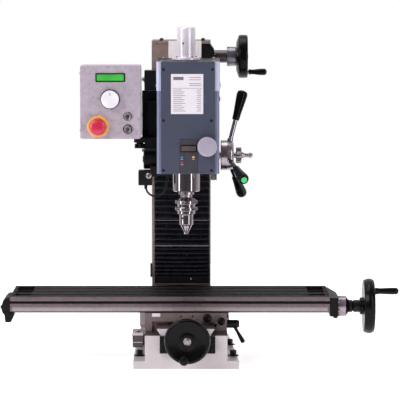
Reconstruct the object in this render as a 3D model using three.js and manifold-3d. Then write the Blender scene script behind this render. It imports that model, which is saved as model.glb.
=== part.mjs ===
// Benchtop milling machine, in millimetres: +X right, +Y away from the operator, +Z up.
// The origin is on the bench, under the spindle axis.
import * as THREE from 'three';
import Module from 'manifold-3d';
import { mergeVertices } from 'three/addons/utils/BufferGeometryUtils.js';
import { ConvexGeometry } from 'three/addons/geometries/ConvexGeometry.js';

const wasm = await Module();
wasm.setup();

// ---- driving dimensions ----
const GAP = 0.3;
const BASE = { half: 115, front: -90, back: 300, flange: 17, block: 89.5, way: 73, wall: 11, wayBack: 172 };
const Y_WAY = { topHalf: 63, footHalf: 54, height: 15, x: -1 };
const PEDESTAL = { left: -105, right: 81, front: 176, top: 53 };
const COLUMN = { left: -79, right: 54, front: 180, back: 290, top: 695, foot: 92, lip: 8, lipDepth: 14 };
const TABLE = { left: -386, right: 314, front: -30, back: 150, top: 150, bottom: 114 };
const SLOT = { neck: 12, tee: 20, neckDepth: 8, depth: 16, first: 10, pitch: 50, trough: 45 };
const SADDLE = { left: -91, right: 89, front: -30, back: 150, top: 113.6 };
const X_WAY = { front: 4, back: 116, undercut: 7, height: 12 };
const X_SCREW = { y: 30, z: 121, r: 8 };
const Y_SCREW = { x: 3, z: 74, r: 8 };
const Z_SCREW = { x: -12.5, y: 236, r: 9, shaftZ: 665 };
const HEAD = { left: -63, right: 72, front: -72, back: 150, bottom: 423, seam: 602, top: 666 };
const CARRIAGE = { left: -95, right: 70, back: 202, bottom: 430, top: 636 };
const QUILL = { r: 29.7, bottom: 379, top: 541, bore: 30.2 };
const FEED = { y: 36, z: 455, pitchR: 12, teeth: 16, rackWidth: 14 };
const WORM = { x: 45.5, z: 483, r: 7, wheelR: 20 };
const MOTOR = { x: 4, y: 95, r: 44, bottom: 436, top: 562 };
const PULLEY_Z = { low: 572, high: 592 };
const BOX = { left: -229, right: -98, bottom: 497, top: 656, front: -50, back: 20, sheet: 2, corner: 5 };
const SWIVEL = { x: -101, y: -5 };
const LOCKS = [{ x: 46, z: 105, r: 10 }, { x: 77, z: 98, r: 9 }];

// ---- solids ----
/** Turns a closed three.js geometry into a manifold solid. */
function solid(geometry) {
  const bare = geometry.index ? geometry.toNonIndexed() : geometry.clone();
  bare.deleteAttribute('normal');
  bare.deleteAttribute('uv');
  const merged = mergeVertices(bare, 1e-4);
  const mesh = new wasm.Mesh({
    numProp: 3,
    vertProperties: new Float32Array(merged.attributes.position.array),
    triVerts: new Uint32Array(merged.index.array),
  });
  return new wasm.Manifold(mesh);
}

/** Joins solids into one. */
const join = (...parts) => parts.reduce((whole, next) => whole.add(next));

/** Takes every tool away from a solid. */
const cut = (whole, ...tools) => tools.reduce((left, tool) => left.subtract(tool), whole);

/** Turns a manifold solid back into a flat-shaded geometry. */
function toGeometry(manifold) {
  const { vertProperties, triVerts, numProp } = manifold.getMesh();
  const points = new Float32Array(triVerts.length * 3);
  triVerts.forEach((vertex, i) => {
    for (let k = 0; k < 3; k += 1) points[i * 3 + k] = vertProperties[vertex * numProp + k];
  });
  const geometry = new THREE.BufferGeometry();
  geometry.setAttribute('position', new THREE.BufferAttribute(points, 3));
  geometry.computeVertexNormals();
  return geometry;
}

/** Points a geometry made along +Z (prisms) or +Y (turned shapes) along a named axis. */
const PRISM_BASIS = {
  z: new THREE.Matrix4(),
  x: new THREE.Matrix4().set(0, 0, 1, 0, 1, 0, 0, 0, 0, 1, 0, 0, 0, 0, 0, 1),
  y: new THREE.Matrix4().set(1, 0, 0, 0, 0, 0, -1, 0, 0, 1, 0, 0, 0, 0, 0, 1),
};
const TURN_BASIS = {
  y: new THREE.Matrix4(),
  x: new THREE.Matrix4().makeRotationZ(-Math.PI / 2),
  z: new THREE.Matrix4().makeRotationX(Math.PI / 2),
};

/** A box between two corners. */
function block(x0, x1, y0, y1, z0, z1) {
  const geometry = new THREE.BoxGeometry(x1 - x0, y1 - y0, z1 - z0);
  return solid(geometry.translate((x0 + x1) / 2, (y0 + y1) / 2, (z0 + z1) / 2));
}

/** An outline pushed along x (outline in y, z), y (x, z) or z (x, y), from one place to another. */
function prism(outline, axis, from, to, curveSegments = 3) {
  const shape = outline.getPoints ? outline : new THREE.Shape(outline.map(([a, b]) => new THREE.Vector2(a, b)));
  const geometry = new THREE.ExtrudeGeometry(shape, { depth: to - from, bevelEnabled: false, curveSegments });
  geometry.translate(0, 0, axis === 'y' ? -to : from);
  return solid(geometry.applyMatrix4(PRISM_BASIS[axis]));
}

/** A rectangle with round corners, as a shape. */
function roundRect(a0, a1, b0, b1, r) {
  const shape = new THREE.Shape();
  shape.moveTo(a0 + r, b0);
  shape.lineTo(a1 - r, b0);
  shape.absarc(a1 - r, b0 + r, r, -Math.PI / 2, 0);
  shape.lineTo(a1, b1 - r);
  shape.absarc(a1 - r, b1 - r, r, 0, Math.PI / 2);
  shape.lineTo(a0 + r, b1);
  shape.absarc(a0 + r, b1 - r, r, Math.PI / 2, Math.PI);
  shape.lineTo(a0, b0 + r);
  shape.absarc(a0 + r, b0 + r, r, Math.PI, Math.PI * 1.5);
  return shape;
}

/** A turned shape: [radius, height] pairs revolved about an axis through a point. */
function turned(profile, axis, at = [0, 0, 0], segments = 28) {
  const points = profile.map(([r, h]) => new THREE.Vector2(r, h));
  const geometry = new THREE.LatheGeometry(points, segments);
  return solid(geometry.applyMatrix4(TURN_BASIS[axis]).translate(...at));
}

/** A plain round bar from h0 to h1 along an axis through a point. */
const bar = (r, h0, h1, axis, at, segments = 20) => turned([[0, h0], [r, h0], [r, h1], [0, h1]], axis, at, segments);

/** A ring whose hole runs right through. */
const ring = (outer, inner, h0, h1, axis, at, segments = 28) =>
  turned([[inner, h0], [outer, h0], [outer, h1], [inner, h1], [inner, h0]], axis, at, segments);

/** A straight rod between two points. */
function rod(start, end, r0, r1 = r0, segments = 14) {
  const from = new THREE.Vector3(...start);
  const way = new THREE.Vector3(...end).sub(from);
  const geometry = new THREE.CylinderGeometry(r1, r0, way.length(), segments);
  geometry.translate(0, way.length() / 2, 0);
  geometry.applyQuaternion(new THREE.Quaternion().setFromUnitVectors(new THREE.Vector3(0, 1, 0), way.normalize()));
  return solid(geometry.translate(...start));
}

/** A round tube that follows points. */
function lead(points, r, steps, sides = 4) {
  const path = new THREE.CatmullRomCurve3(points.map((p) => new THREE.Vector3(...p)), false, 'centripetal');
  const section = new THREE.Shape().absarc(0, 0, r, 0, Math.PI * 2);
  return solid(new THREE.ExtrudeGeometry(section, { steps, extrudePath: path, curveSegments: sides }));
}

// ---- the scene graph ----
const machine = new THREE.Group();
machine.name = 'benchtop_milling_machine';

const FINISHES = {
  whitePaint: { color: 0xd9cdd2, roughness: 0.45, metalness: 0 },
  slatePaint: { color: 0x48506a, roughness: 0.5, metalness: 0 },
  palePaint: { color: 0x9a9ec6, roughness: 0.45, metalness: 0 },
  castIron: { color: 0x594d4d, roughness: 0.55, metalness: 0.6 },
  groundIron: { color: 0x9a8c90, roughness: 0.35, metalness: 0.9 },
  steel: { color: 0xb0aab0, roughness: 0.3, metalness: 1 },
  chrome: { color: 0xd8d4d8, roughness: 0.12, metalness: 1 },
  aluminium: { color: 0xcfc8d2, roughness: 0.35, metalness: 1 },
  stainless: { color: 0xc4b8c6, roughness: 0.4, metalness: 1 },
  black: { color: 0x161618, roughness: 0.4, metalness: 0 },
  blackCast: { color: 0x1c1a1b, roughness: 0.5, metalness: 0.3 },
  bronze: { color: 0xa8803c, roughness: 0.4, metalness: 1 },
  rubber: { color: 0x1a1a1c, roughness: 0.8, metalness: 0 },
  red: { color: 0xb01c38, roughness: 0.35, metalness: 0 },
  greyPlastic: { color: 0x7a6d70, roughness: 0.5, metalness: 0 },
};

/** Adds one named sub-part to a group. */
function add(group, name, finish, manifold) {
  const mesh = new THREE.Mesh(toGeometry(manifold), new THREE.MeshStandardMaterial(FINISHES[finish]));
  mesh.name = name;
  group.add(mesh);
}

/** A group for one moving assembly, placed in its parent. */
function assembly(name, parent = machine) {
  const group = new THREE.Group();
  group.name = name;
  parent.add(group);
  return group;
}

// ---- base and column ----
/** Foot flange, front block with its flat ways, male dovetail and column pedestal; hollow underneath. */
function baseCasting() {
  const { half, front, back, flange, block: side, way, wall, wayBack } = BASE;
  const foot = prism([[-half, front], [half, front], [half - 19, back], [-half, back]], 'z', 0, flange);
  const body = block(-side, side, front, PEDESTAL.front, 0, way);
  const pedestal = block(PEDESTAL.left, PEDESTAL.right, PEDESTAL.front - 10, back, 0, PEDESTAL.top);
  const { x, topHalf, footHalf, height } = Y_WAY;
  const dovetail = prism(
    [[x - footHalf, way - 1], [x + footHalf, way - 1], [x + footHalf, way], [x + topHalf, way + height],
      [x - topHalf, way + height], [x - footHalf, way]],
    'y', front, wayBack,
  );
  const hollows = [[front + wall, -8], [8, PEDESTAL.front - wall]].map(
    ([from, to]) => block(-side + wall, side - wall, from, to, -1, 40),
  );
  const rearHollow = block(PEDESTAL.left + wall, PEDESTAL.right - wall, PEDESTAL.front, back - wall, -1, 38);
  const channel = block(Y_SCREW.x - 24, Y_SCREW.x + 24, front - 1, wayBack - 12, 50, 100);
  const bolts = [[-103, -14], [103, -14], [-103, 140], [97, 140]].map(([bx, by]) => bar(5, -1, 30, 'z', [bx, by, 0], 16));
  const bracketHole = bar(13, front - 1, front + 1, 'y', [Y_SCREW.x, 0, Y_SCREW.z]);
  return cut(join(foot, body, pedestal, dovetail), ...hollows, rearHollow, channel, bracketHole, ...bolts);
}

/** Hollow column with an undercut lip on each front edge, a slot for the nut and a foot flange. */
function columnCasting() {
  const { left, right, front, back, top, foot, lip, lipDepth } = COLUMN;
  const low = PEDESTAL.top + GAP;
  const shaft = prism(
    [[left, front], [right, front], [right, front + 3], [right - lip, front + lipDepth], [right - lip, back],
      [left + lip, back], [left + lip, front + lipDepth], [left, front + 3]],
    'z', low, top,
  );
  const flange = block(-107, 83, PEDESTAL.front, BASE.back, low, foot);
  const slot = block(Z_SCREW.x - 17, Z_SCREW.x + 17, front - 1, front + 30, 140, top + 1);
  const cavity = block(left + lip + 10, right - lip - 10, front + 26, back - 10, foot + 14, top + 1);
  const under = block(left + lip + 10, right - lip - 10, front + 26, back - 10, low - 1, foot);
  const housingSeat = block(33, right + 1, front - 1, 274, 636, top + 1);
  const bolts = [[-97, 190], [-97, 285], [73, 190], [73, 285]].map(([x, y]) => bar(6, 0, foot + 1, 'z', [x, y, 0], 16));
  return cut(join(shaft, flange), slot, cavity, under, housingSeat, ...bolts);
}

/** Cast block beside the column top that carries the crank shaft. */
function zDriveHousing() {
  const { front } = COLUMN;
  const outline = [[33 + GAP, 640], [62, 640], [62, 682], [53, 694.7], [33 + GAP, 694.7]];
  const boss = bar(14, 60, 88, 'x', [0, Z_SCREW.y, Z_SCREW.shaftZ]);
  const bore = bar(8 + GAP, 20, 95, 'x', [0, Z_SCREW.y, Z_SCREW.shaftZ]);
  return cut(join(prism(outline, 'y', front, 272), boss), bore);
}

/** Plate on the column top that closes it over the gears. */
const columnTopPlate = () => block(COLUMN.left, COLUMN.right, COLUMN.front - 2, COLUMN.back + 2, COLUMN.top + GAP, 702);

/** Pleated way cover in front of the column, as one zigzag strip. */
function bellows() {
  const [low, high, pleats] = [155, 424, 22];
  const face = [];
  for (let i = 0; i <= pleats * 2; i += 1) {
    face.push([i % 2 ? 158 : 168, low + ((high - low) * i) / (pleats * 2)]);
  }
  return prism([[176, low], ...face, [176, high]], 'x', -73, 51);
}

/** Plate that closes the front of the base and carries the cross screw. */
function yScrewBracket() {
  const plate = block(-57, 63, BASE.front - 13, BASE.front - GAP, 36, 72.7);
  const boss = bar(20, BASE.front - 17, BASE.front - 6, 'y', [Y_SCREW.x, 0, Y_SCREW.z]);
  const neck = block(Y_SCREW.x - 20, Y_SCREW.x + 20, BASE.front - 13, BASE.front - GAP, 60, Y_SCREW.z);
  return cut(join(plate, boss, neck), bar(7 + GAP, -130, -60, 'y', [Y_SCREW.x, 0, Y_SCREW.z]));
}

/** Small oil reservoir on the left flank of the base. */
function oilReservoir() {
  const tank = prism([[-118, 34], [-96, 34], [-95, 62], [-119, 62]], 'y', -8, 50);
  const lid = block(-119, -95, -9, 51, 61, 67);
  const strap = block(-98, -BASE.block - GAP, 5, 35, 40, 58);
  return join(tank, lid, strap);
}

// ---- saddle and table ----
/** Saddle: female dovetail below, male dovetail along X above, with channels for both screws. */
function saddleCasting() {
  const { left, right, front, back, top } = SADDLE;
  const low = BASE.way + GAP;
  const { x, topHalf, footHalf, height } = Y_WAY;
  const body = block(left, right, front, back, low, top);
  const upper = xDovetail(left, right, 0, top - 1, top + X_WAY.height);
  const lower = prism(
    [[x - footHalf - 2, low - 1], [x + footHalf + 6, low - 1], [x + topHalf + 6, low + height + 1],
      [x - topHalf - 1, low + height + 1]],
    'y', front - 1, back + 1,
  );
  const screwPath = block(Y_SCREW.x - 24, Y_SCREW.x + 24, front - 1, back + 1, low - 1, 99);
  const xPath = block(left - 1, right + 1, X_SCREW.y - 12, X_SCREW.y + 12, X_SCREW.z - 12, 140);
  const frontRelief = block(-75, 60, front - 1, front + 8, low - 1, 95);
  const lockHoles = LOCKS.map(({ x: lockX, z }) => bar(5, front - 1, front + 14, 'y', [lockX, 0, z], 12));
  const leverHole = bar(5, right - 14, right + 1, 'x', [0, 10, 84], 16);
  return cut(join(body, upper), lower, screwPath, xPath, frontRelief, ...lockHoles, leverHole);
}

/** Dovetail section along X, grown by a clearance. */
function xDovetail(from, to, clear, low, high) {
  const { front, back, undercut } = X_WAY;
  return prism(
    [[front + undercut - clear, low], [back - undercut + clear, low], [back + clear, high + clear],
      [front - clear, high + clear]],
    'x', from, to,
  );
}

/** Table with three T-slots, a coolant trough at each end and a female dovetail beneath. */
function tableCasting() {
  const { left, right, front, back, top, bottom } = TABLE;
  const side = [
    [front + 4, bottom], [back - 4, bottom], [back - 4, 134], [back, 138], [back, top],
    [front, top], [front, 140], [front + 3, 139], [front + 3, 135], [front, 134], [front, bottom + 4],
  ];
  const slots = [0, 1, 2].flatMap((n) => {
    const y = SLOT.first + n * SLOT.pitch;
    const neck = block(left - 1, right + 1, y - SLOT.neck / 2, y + SLOT.neck / 2, top - SLOT.depth, top + 1);
    const tee = block(left - 1, right + 1, y - SLOT.tee / 2, y + SLOT.tee / 2, top - SLOT.depth, top - SLOT.neckDepth);
    return [neck, tee];
  });
  const troughs = [[left + 8, left + SLOT.trough], [right - SLOT.trough, right - 8]].map(
    ([from, to]) => block(from, to, front + 10, back - 10, top - 8, top + 1),
  );
  const ways = xDovetail(left - 1, right + 1, 0.6, SADDLE.top - 1, SADDLE.top + X_WAY.height);
  const screwPath = block(left - 1, right + 1, X_SCREW.y - 12, X_SCREW.y + 12, bottom - 1, X_SCREW.z + 9);
  return cut(prism(side, 'x', left, right), ...slots, ...troughs, ways, screwPath);
}

/** End bracket that carries the table screw; its outline is an octagon on the left. */
function leftEndBracket() {
  const outline = [[-30, 143], [-22, 148], [52, 148], [60, 140], [60, 106], [46, 93], [-4, 93], [-30, 112]];
  const cap = prism(outline, 'x', -408, TABLE.left - GAP);
  return cut(cap, bar(7 + GAP, -403, -380, 'x', [0, X_SCREW.y, X_SCREW.z]));
}

/** Wedge-shaped bracket at the crank end with a lug below the table. */
function rightEndBracket() {
  const plan = [[TABLE.right + GAP, -30], [333, -30], [333, 62], [318, 146], [TABLE.right + GAP, 150]];
  const wedge = prism(plan, 'z', 106, 147);
  const lug = block(324, 333, 0, 60, 98, 107);
  return cut(join(wedge, lug), bar(7 + GAP, 310, 340, 'x', [0, X_SCREW.y, X_SCREW.z]));
}

/** Bronze nut held in the saddle around the table screw. */
function xNut() {
  const { y, z, r } = X_SCREW;
  const body = block(-20, 20, y - 11.6, y + 11.6, z - 11.6, z + 8.4);
  return cut(body, bar(r + GAP, -22, 22, 'x', [0, y, z]));
}

/** Nut that hangs from the saddle around the cross screw. */
function yNut() {
  const { x, z, r } = Y_SCREW;
  return cut(block(x - 17, x + 17, 40, 80, 58, 98.7), bar(r + GAP, 38, 82, 'y', [x, 0, z]));
}

// ---- screws, dials and handwheels ----
/** Screw with round-bottomed grooves in place of a helix, journals at both ends. */
function screw(r, from, to, journal, axis, at, tail = 0) {
  return turned([[0, from - tail], [journal, from - tail], [journal, from], [r, from], [r, to], [journal, to],
    [journal, to + 12], [0, to + 12]], axis, at, 24);
}

/** Dished handwheel along +X with its hub behind it; radius, depth and hub come from the caller. */
function handwheel(radius, depth, hubR, hubLength, boreR, pinR, handleAt) {
  const rim = depth * 0.5;
  const profile = [
    [boreR, 0], [hubR, 0], [hubR, hubLength], [radius - 12, hubLength], [radius - 2, hubLength - 4 + rim * 0.3],
    [radius, hubLength + rim], [radius - 3, hubLength + depth - 2], [radius - 8, hubLength + depth],
    [radius - 13, hubLength + depth - 3], [radius - 18, hubLength + 9], [hubR * 0.8, hubLength + 7],
    [hubR * 0.7, hubLength + depth * 0.62], [boreR, hubLength + depth * 0.62], [boreR, 0],
  ];
  const boss = bar(9, hubLength + 1, hubLength + depth, 'x', [0, handleAt[0], handleAt[1]], 12);
  const pin = bar(pinR + GAP, hubLength - 2, hubLength + depth + 2, 'x', [0, handleAt[0], handleAt[1]], 12);
  return cut(join(turned(profile, 'x', [0, 0, 0], 48), boss), pin);
}

/** Turned crank grip along +X with the pin it spins on. */
function grip(from, length, r0, r1, pinR, pinLength) {
  return turned([[0, from - pinLength], [pinR, from - pinLength], [pinR, from], [r0, from + 1],
    [r0 * 0.86, from + length * 0.25], [r1, from + length * 0.78], [r1, from + length - 4],
    [r1 * 0.7, from + length - 0.5], [r1 * 0.4, from + length], [0, from + length]], 'x', [0, 0, 0], 18);
}

/** Table screw, dial and crank on the right end of the table. */
function xDrive() {
  const group = assembly('x_drive');
  group.position.set(0, X_SCREW.y, X_SCREW.z);
  add(group, 'x_screw', 'steel', screw(X_SCREW.r, -385, 313, 6.6, 'x', [0, 0, 0], 14)
    .add(bar(6.6, 320, 412, 'x', [0, 0, 0], 24)));
  add(group, 'x_dial', 'steel', turned([[7, 334], [22.5, 334], [22.5, 352], [15, 357], [13.5, 360], [7, 360],
    [7, 334]], 'x', [0, 0, 0]));
  const wheel = handwheel(61, 24, 19, 8, 7, 4, [-14, 35]).translate([383, 0, 0]);
  const clutch = turned([[7, 360.4], [13.5, 360.4], [13.5, 366], [10.5, 368], [13.5, 370], [13.5, 384], [7, 384],
    [7, 360.4]], 'x', [0, 0, 0], 20);
  add(group, 'x_handwheel', 'black', join(wheel, clutch));
  const handle = assembly('x_grip_place', group);
  handle.position.set(0, -14, 35);
  add(handle, 'x_grip', 'black', grip(416, 52, 7.5, 7.5, 3.9, 22));
}

/** Cross screw, dial and disc handwheel at the front, turned to face the operator. */
function yDrive() {
  const group = assembly('y_drive');
  group.position.set(Y_SCREW.x, 0, Y_SCREW.z);
  group.rotation.set(0, 0, -Math.PI / 2);
  add(group, 'y_screw', 'steel', screw(Y_SCREW.r, -150, 88, 6.6, 'x', [0, 0, 0]).add(bar(6.6, 98, 186, 'x', [0, 0, 0], 24)));
  add(group, 'y_dial', 'steel', ring(22, 7, 108, 136, 'x', [0, 0, 0]));
  const profile = [[7, 136.4], [16, 136.4], [16, 160], [30, 166], [44, 166], [49, 170], [49.5, 178], [47, 184],
    [43, 185], [30, 181], [16, 179], [12, 181], [7, 181], [7, 136.4]];
  const wheel = turned(profile, 'x', [0, 0, 0], 28);
  const pinAt = [0, -7, -38];
  const pinHole = bar(4.3, 160, 190, 'x', pinAt, 12);
  const boss = bar(9, 167, 185, 'x', pinAt, 12);
  add(group, 'y_handwheel', 'black', cut(join(wheel, boss), pinHole));
  const handle = assembly('y_grip_place', group);
  handle.position.set(...pinAt);
  add(handle, 'y_grip', 'black', grip(187, 24, 6, 10, 3.9, 20));
}

/** Crank shaft with its bevel gear, dial and crank at the column top. */
function zDrive() {
  const group = assembly('z_drive');
  group.position.set(0, Z_SCREW.y, Z_SCREW.shaftZ);
  const gear = bevelGear(0).rotate([0, 90, 0]).translate([Z_SCREW.x, 0, 0]);
  add(group, 'z_drive_shaft', 'steel', join(gear, bar(8, 5, 92, 'x', [0, 0, 0], 24), bar(6.6, 90, 136, 'x', [0, 0, 0], 24)));
  add(group, 'z_dial', 'steel', ring(22, 7, 92.4, 112, 'x', [0, 0, 0]));
  add(group, 'z_handwheel', 'black', handwheel(49, 20, 17, 6, 7, 4, [-6, -35]).translate([112.4, 0, 0]));
  const handle = assembly('z_grip_place', group);
  handle.position.set(0, -6, -35);
  add(handle, 'z_grip', 'black', grip(140, 42, 5, 7.5, 3.9, 20));
}

const BEVEL = { teeth: 12, outer: 16, inner: 9, addendum: 1.2, dedendum: 2, half: 1.15 };

/** Bevel gear with its apex at the origin and its back along +Z; phase is in tooth pitches. */
function bevelGear(phase) {
  const { teeth, outer, inner, addendum, dedendum, half } = BEVEL;
  const c = Math.SQRT1_2;
  const at = (p, up, side) => [(p + up * c), side, p - up * c];
  const tooth = (turn) => {
    const points = [outer, inner].flatMap((p) => {
      const k = p / outer;
      return [at(p, addendum * k, 0.5 * k), at(p, addendum * k, -0.5 * k), at(p, -dedendum * k, 1.5 * half * k),
        at(p, -dedendum * k, -1.5 * half * k)];
    }).map(([x, y, z]) => new THREE.Vector3(x, y, z).applyAxisAngle(new THREE.Vector3(0, 0, 1), turn));
    return solid(new ConvexGeometry(points));
  };
  const root = (p) => [(p - dedendum * (p / outer) * c) + 0.2, p + dedendum * (p / outer) * c];
  const [ro, zo] = root(outer);
  const [ri, zi] = root(inner);
  const body = turned([[0, zi], [ri, zi], [ro, zo], [ro, zo + 2], [11, zo + 5], [0, zo + 5]], 'z');
  const pitch = (Math.PI * 2) / teeth;
  return join(body, ...Array.from({ length: teeth }, (_, i) => tooth((i + phase) * pitch)));
}

/** Elevating screw with the driven bevel gear on top. */
function zScrew() {
  const { x, y, r, shaftZ } = Z_SCREW;
  const gear = bevelGear(0.5).rotate([180, 0, 0]).translate([x, y, shaftZ]);
  const shank = turned([[0, 108], [6, 108], [6, 120], [r, 120], [r, 628], [6.6, 632], [6.6, 646], [0, 646]], 'z', [x, y, 0], 24);
  const collar = bar(13, 618, 626, 'z', [x, y, 0], 24);
  return join(gear, shank, collar);
}

// ---- head ----
/** Lower head casting: quill bore, motor bay, pinion pocket and worm bores. */
function headCasting() {
  const { left, right, front, back, bottom, seam } = HEAD;
  const body = prism(roundRect(left, right, front, back, 6), 'z', bottom, seam - GAP);
  const quillBore = bar(QUILL.bore, bottom - 1, 550, 'z', [0, 0, 0], 32);
  const pulleyBay = block(left + 9, right - 9, front + 9, back - 9, 548, seam + 1);
  const motorBay = block(left + 9, right - 9, 48, back - 9, 431, seam + 1);
  const shaftBore = bar(9 + GAP, left - 1, right + 1, 'x', [0, FEED.y, FEED.z]);
  const pinionPocket = block(-11, 11, 20, 52, FEED.z - 15, FEED.z + 15);
  const wormPocket = block(36, 55, 12, 60, 432, 496);
  const wormBore = bar(5 + GAP, front - 1, 60, 'y', [WORM.x, 0, WORM.z], 24);
  const leadHole = bar(2.6, bottom - 1, 436, 'z', [-40, 40, 0], 12);
  return cut(body, quillBore, pulleyBay, motorBay, shaftBore, pinionPocket, wormPocket, wormBore, leadHole);
}

/** Belt cover over the pulleys, open below, with the spindle hole in its top. */
function beltCover() {
  const { left, right, front, back, seam, top } = HEAD;
  const shell = prism(roundRect(left - 1, right + 1, front - 1, back, 6), 'z', seam, top - 1);
  const inside = block(left + 4, right - 4, front + 4, back - 5, seam - 1, top - 5);
  return cut(shell, inside, bar(24, top - 8, top + 1, 'z', [0, 0, 0], 32));
}

/** Flat front plate of the head, with the window for the readout and the knob hole. */
function frontCover() {
  const plate = prism(roundRect(-54, 62, HEAD.bottom + 1, HEAD.top - 1, 1.5), 'y', HEAD.front - 5, HEAD.front - 1 - GAP);
  return cut(plate, block(-13.7, 24.7, HEAD.front - 10, HEAD.front, 424.7, 498.3), bar(8, -90, -60, 'y', [WORM.x, 0, WORM.z]));
}

/** Slide behind the head that clasps the column lips and reaches the elevating nut. */
function headCarriage() {
  const { left, right, back, bottom, top } = CARRIAGE;
  const body = block(left, right, HEAD.back + GAP, back, bottom, top);
  const { left: cl, right: cr, front, lip, lipDepth } = COLUMN;
  const c = 0.5;
  const ways = prism(
    [[cl - c, front - c], [cr + c, front - c], [cr + c, front + 3 + c], [cr - lip + c, front + lipDepth + c],
      [cr - lip + c, back + 1], [cl + lip - c, back + 1], [cl + lip - c, front + lipDepth + c], [cl - c, front + 3 + c]],
    'z', bottom - 1, top + 1,
  );
  const arm = block(Z_SCREW.x - 13, Z_SCREW.x + 13, front - 4, Z_SCREW.y + 16, 520, 556);
  const bore = bar(Z_SCREW.r + GAP, 515, 560, 'z', [Z_SCREW.x, Z_SCREW.y, 0], 24);
  return cut(join(cut(body, ways), arm), bore);
}

/** Tube with cross holes over the drawbar, on a round flange. */
function spindleCap() {
  const profile = [[13, 666], [31, 666], [31, 672], [20, 673], [20, 735], [18.5, 737], [0, 737], [0, 731], [13, 731],
    [13, 666]];
  const holes = [-45, 45, 135].map((angle) => bar(2.2, 10, 25, 'x', [0, 0, 0], 12).rotate([0, 0, angle - 90])
    .translate([0, 0, 702]));
  return cut(turned(profile, 'z', [0, 0, 0], 32), ...holes);
}

/** Readout module set into the front cover. */
const readoutPanel = () => prism(roundRect(-13.4, 24.4, 425, 498, 1.2), 'y', HEAD.front - 6.5, HEAD.front - 1.6);

/** Drum on the left that holds the quill return spring. */
function springHousing() {
  const at = [0, FEED.y - 4, FEED.z - 8];
  const drum = turned([[0, -94], [20, -94], [22, -92], [22, HEAD.left - GAP], [19, HEAD.left - GAP], [19, -90], [0, -90]], 'x', at);
  return drum;
}

/** Motor body with its shaft stub. */
function driveMotor() {
  const { x, y, r, bottom, top } = MOTOR;
  return turned([[0, bottom], [r - 3, bottom], [r, bottom + 3], [r, top - 12], [r - 6, top - 8], [14, top - 8],
    [14, top - 2], [0, top - 2]], 'z', [x, y, 0]);
}

/** Toothed-belt pulley with two flanges. */
function pulley(r, boreR, at, extra = []) {
  const { low, high } = PULLEY_Z;
  const rim = turned([[boreR, low], [r + 2, low], [r + 2, low + 1.5], [r, low + 1.5], [r, high - 1.5], [r + 2, high - 1.5],
    [r + 2, high], [boreR, high], [boreR, low]], 'z', at, 28);
  return extra.length ? join(rim, ...extra) : rim;
}

/** Belt around both pulleys. */
function driveBelt() {
  const { low, high } = PULLEY_Z;
  const outline = (grow) => beltOutline(34 + grow, 17 + grow);
  const outer = prism(outline(3.3), 'z', low + 2.2, high - 2.2, 14);
  const inner = prism(outline(0.5), 'z', low, high, 14);
  return cut(outer, inner);
}

/** Outline of a belt around a large pulley at the spindle and a small one at the motor. */
function beltOutline(big, small) {
  const span = Math.hypot(MOTOR.x, MOTOR.y);
  const lean = Math.atan2(MOTOR.y, MOTOR.x);
  const wrap = Math.acos((big - small) / span);
  const shape = new THREE.Shape();
  shape.absarc(0, 0, big, lean + wrap, lean - wrap + Math.PI * 2);
  shape.absarc(MOTOR.x, MOTOR.y, small, lean - wrap, lean + wrap);
  return shape;
}

/** Sensor box below the spring drum, with its mounting tab. */
function sensorBox() {
  const box = prism(roundRect(-105, -75, 391.5, 424.2, 2), 'y', 0, 30);
  return join(box, block(-79, HEAD.left - GAP, 0, 7, 410, 434));
}

const SENSOR_LEAD = [[-89, 15, 391.2], [-89, 15, 387], [-88.4, 15, 382], [-86, 14.8, 376.5], [-82, 14.5, 371.5],
  [-77, 15, 368.4], [-71, 16, 366], [-65, 18, 365], [-59, 20.5, 366.3], [-53.5, 23.5, 370], [-48.5, 27, 376.5],
  [-45, 31, 385], [-42.5, 35, 395], [-41, 38, 405], [-40.2, 39.5, 414], [-40, 40, 422], [-40, 40, 430]];

/** Bracket from the head that carries the control box on a vertical pivot. */
function boxBracket() {
  const upright = block(-97, HEAD.left - GAP, 22, 32, 492, 598);
  const rib = block(-84, HEAD.left - GAP, 4, 23, 486.5, 575);
  const tongue = prism(roundRect(-114, HEAD.left - GAP, -18, 30, 6), 'z', 486.5, 496.4);
  return cut(join(upright, rib, tongue), bar(4 + GAP, 480, 500, 'z', [SWIVEL.x, SWIVEL.y, 0], 16));
}

/** Folded sheet box with holes in its front for the controls. */
function controlBox() {
  const { left, right, bottom, top, front, back, sheet, corner } = BOX;
  const shell = prism(roundRect(left, right, bottom, top, corner), 'y', front, back);
  const inside = prism(roundRect(left + sheet, right - sheet, bottom + sheet, top - sheet, corner - sheet), 'y',
    front + sheet, back - sheet);
  const holes = Object.values(PANEL).map(({ x, z, shank }) => bar(shank + GAP, front - 1, front + 3, 'y', [x, 0, z], 24));
  return cut(shell, inside, ...holes);
}

const PANEL = {
  speed: { x: -164, z: 583, shank: 3 },
  estop: { x: -190.5, z: 524, shank: 9 },
  start: { x: -126.5, z: 546, shank: 7.5 },
  stop: { x: -126.5, z: 518, shank: 7.5 },
};

/** Turned knob for the spindle speed. */
function speedKnob() {
  const { x, z, shank } = PANEL.speed;
  const face = -BOX.front;
  return turned([[0, face - 8], [shank, face - 8], [shank, face + GAP], [21, face + GAP], [21.5, face + 2], [19, face + 4],
    [17, face + 15], [15.5, face + 16.5], [0, face + 16.5]], 'y', [0, 0, 0]).rotate([180, 0, 0]).translate([x, 0, z]);
}

/** Mushroom head of the stop switch. */
function estopButton() {
  const { x, z, shank } = PANEL.estop;
  const face = -BOX.front;
  return turned([[0, face - 14], [shank, face - 14], [shank, face + 9], [14, face + 10], [19, face + 13], [19, face + 18],
    [16, face + 22], [9, face + 24], [0, face + 24.5]], 'y', [0, 0, 0]).rotate([180, 0, 0]).translate([x, 0, z]);
}

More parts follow.
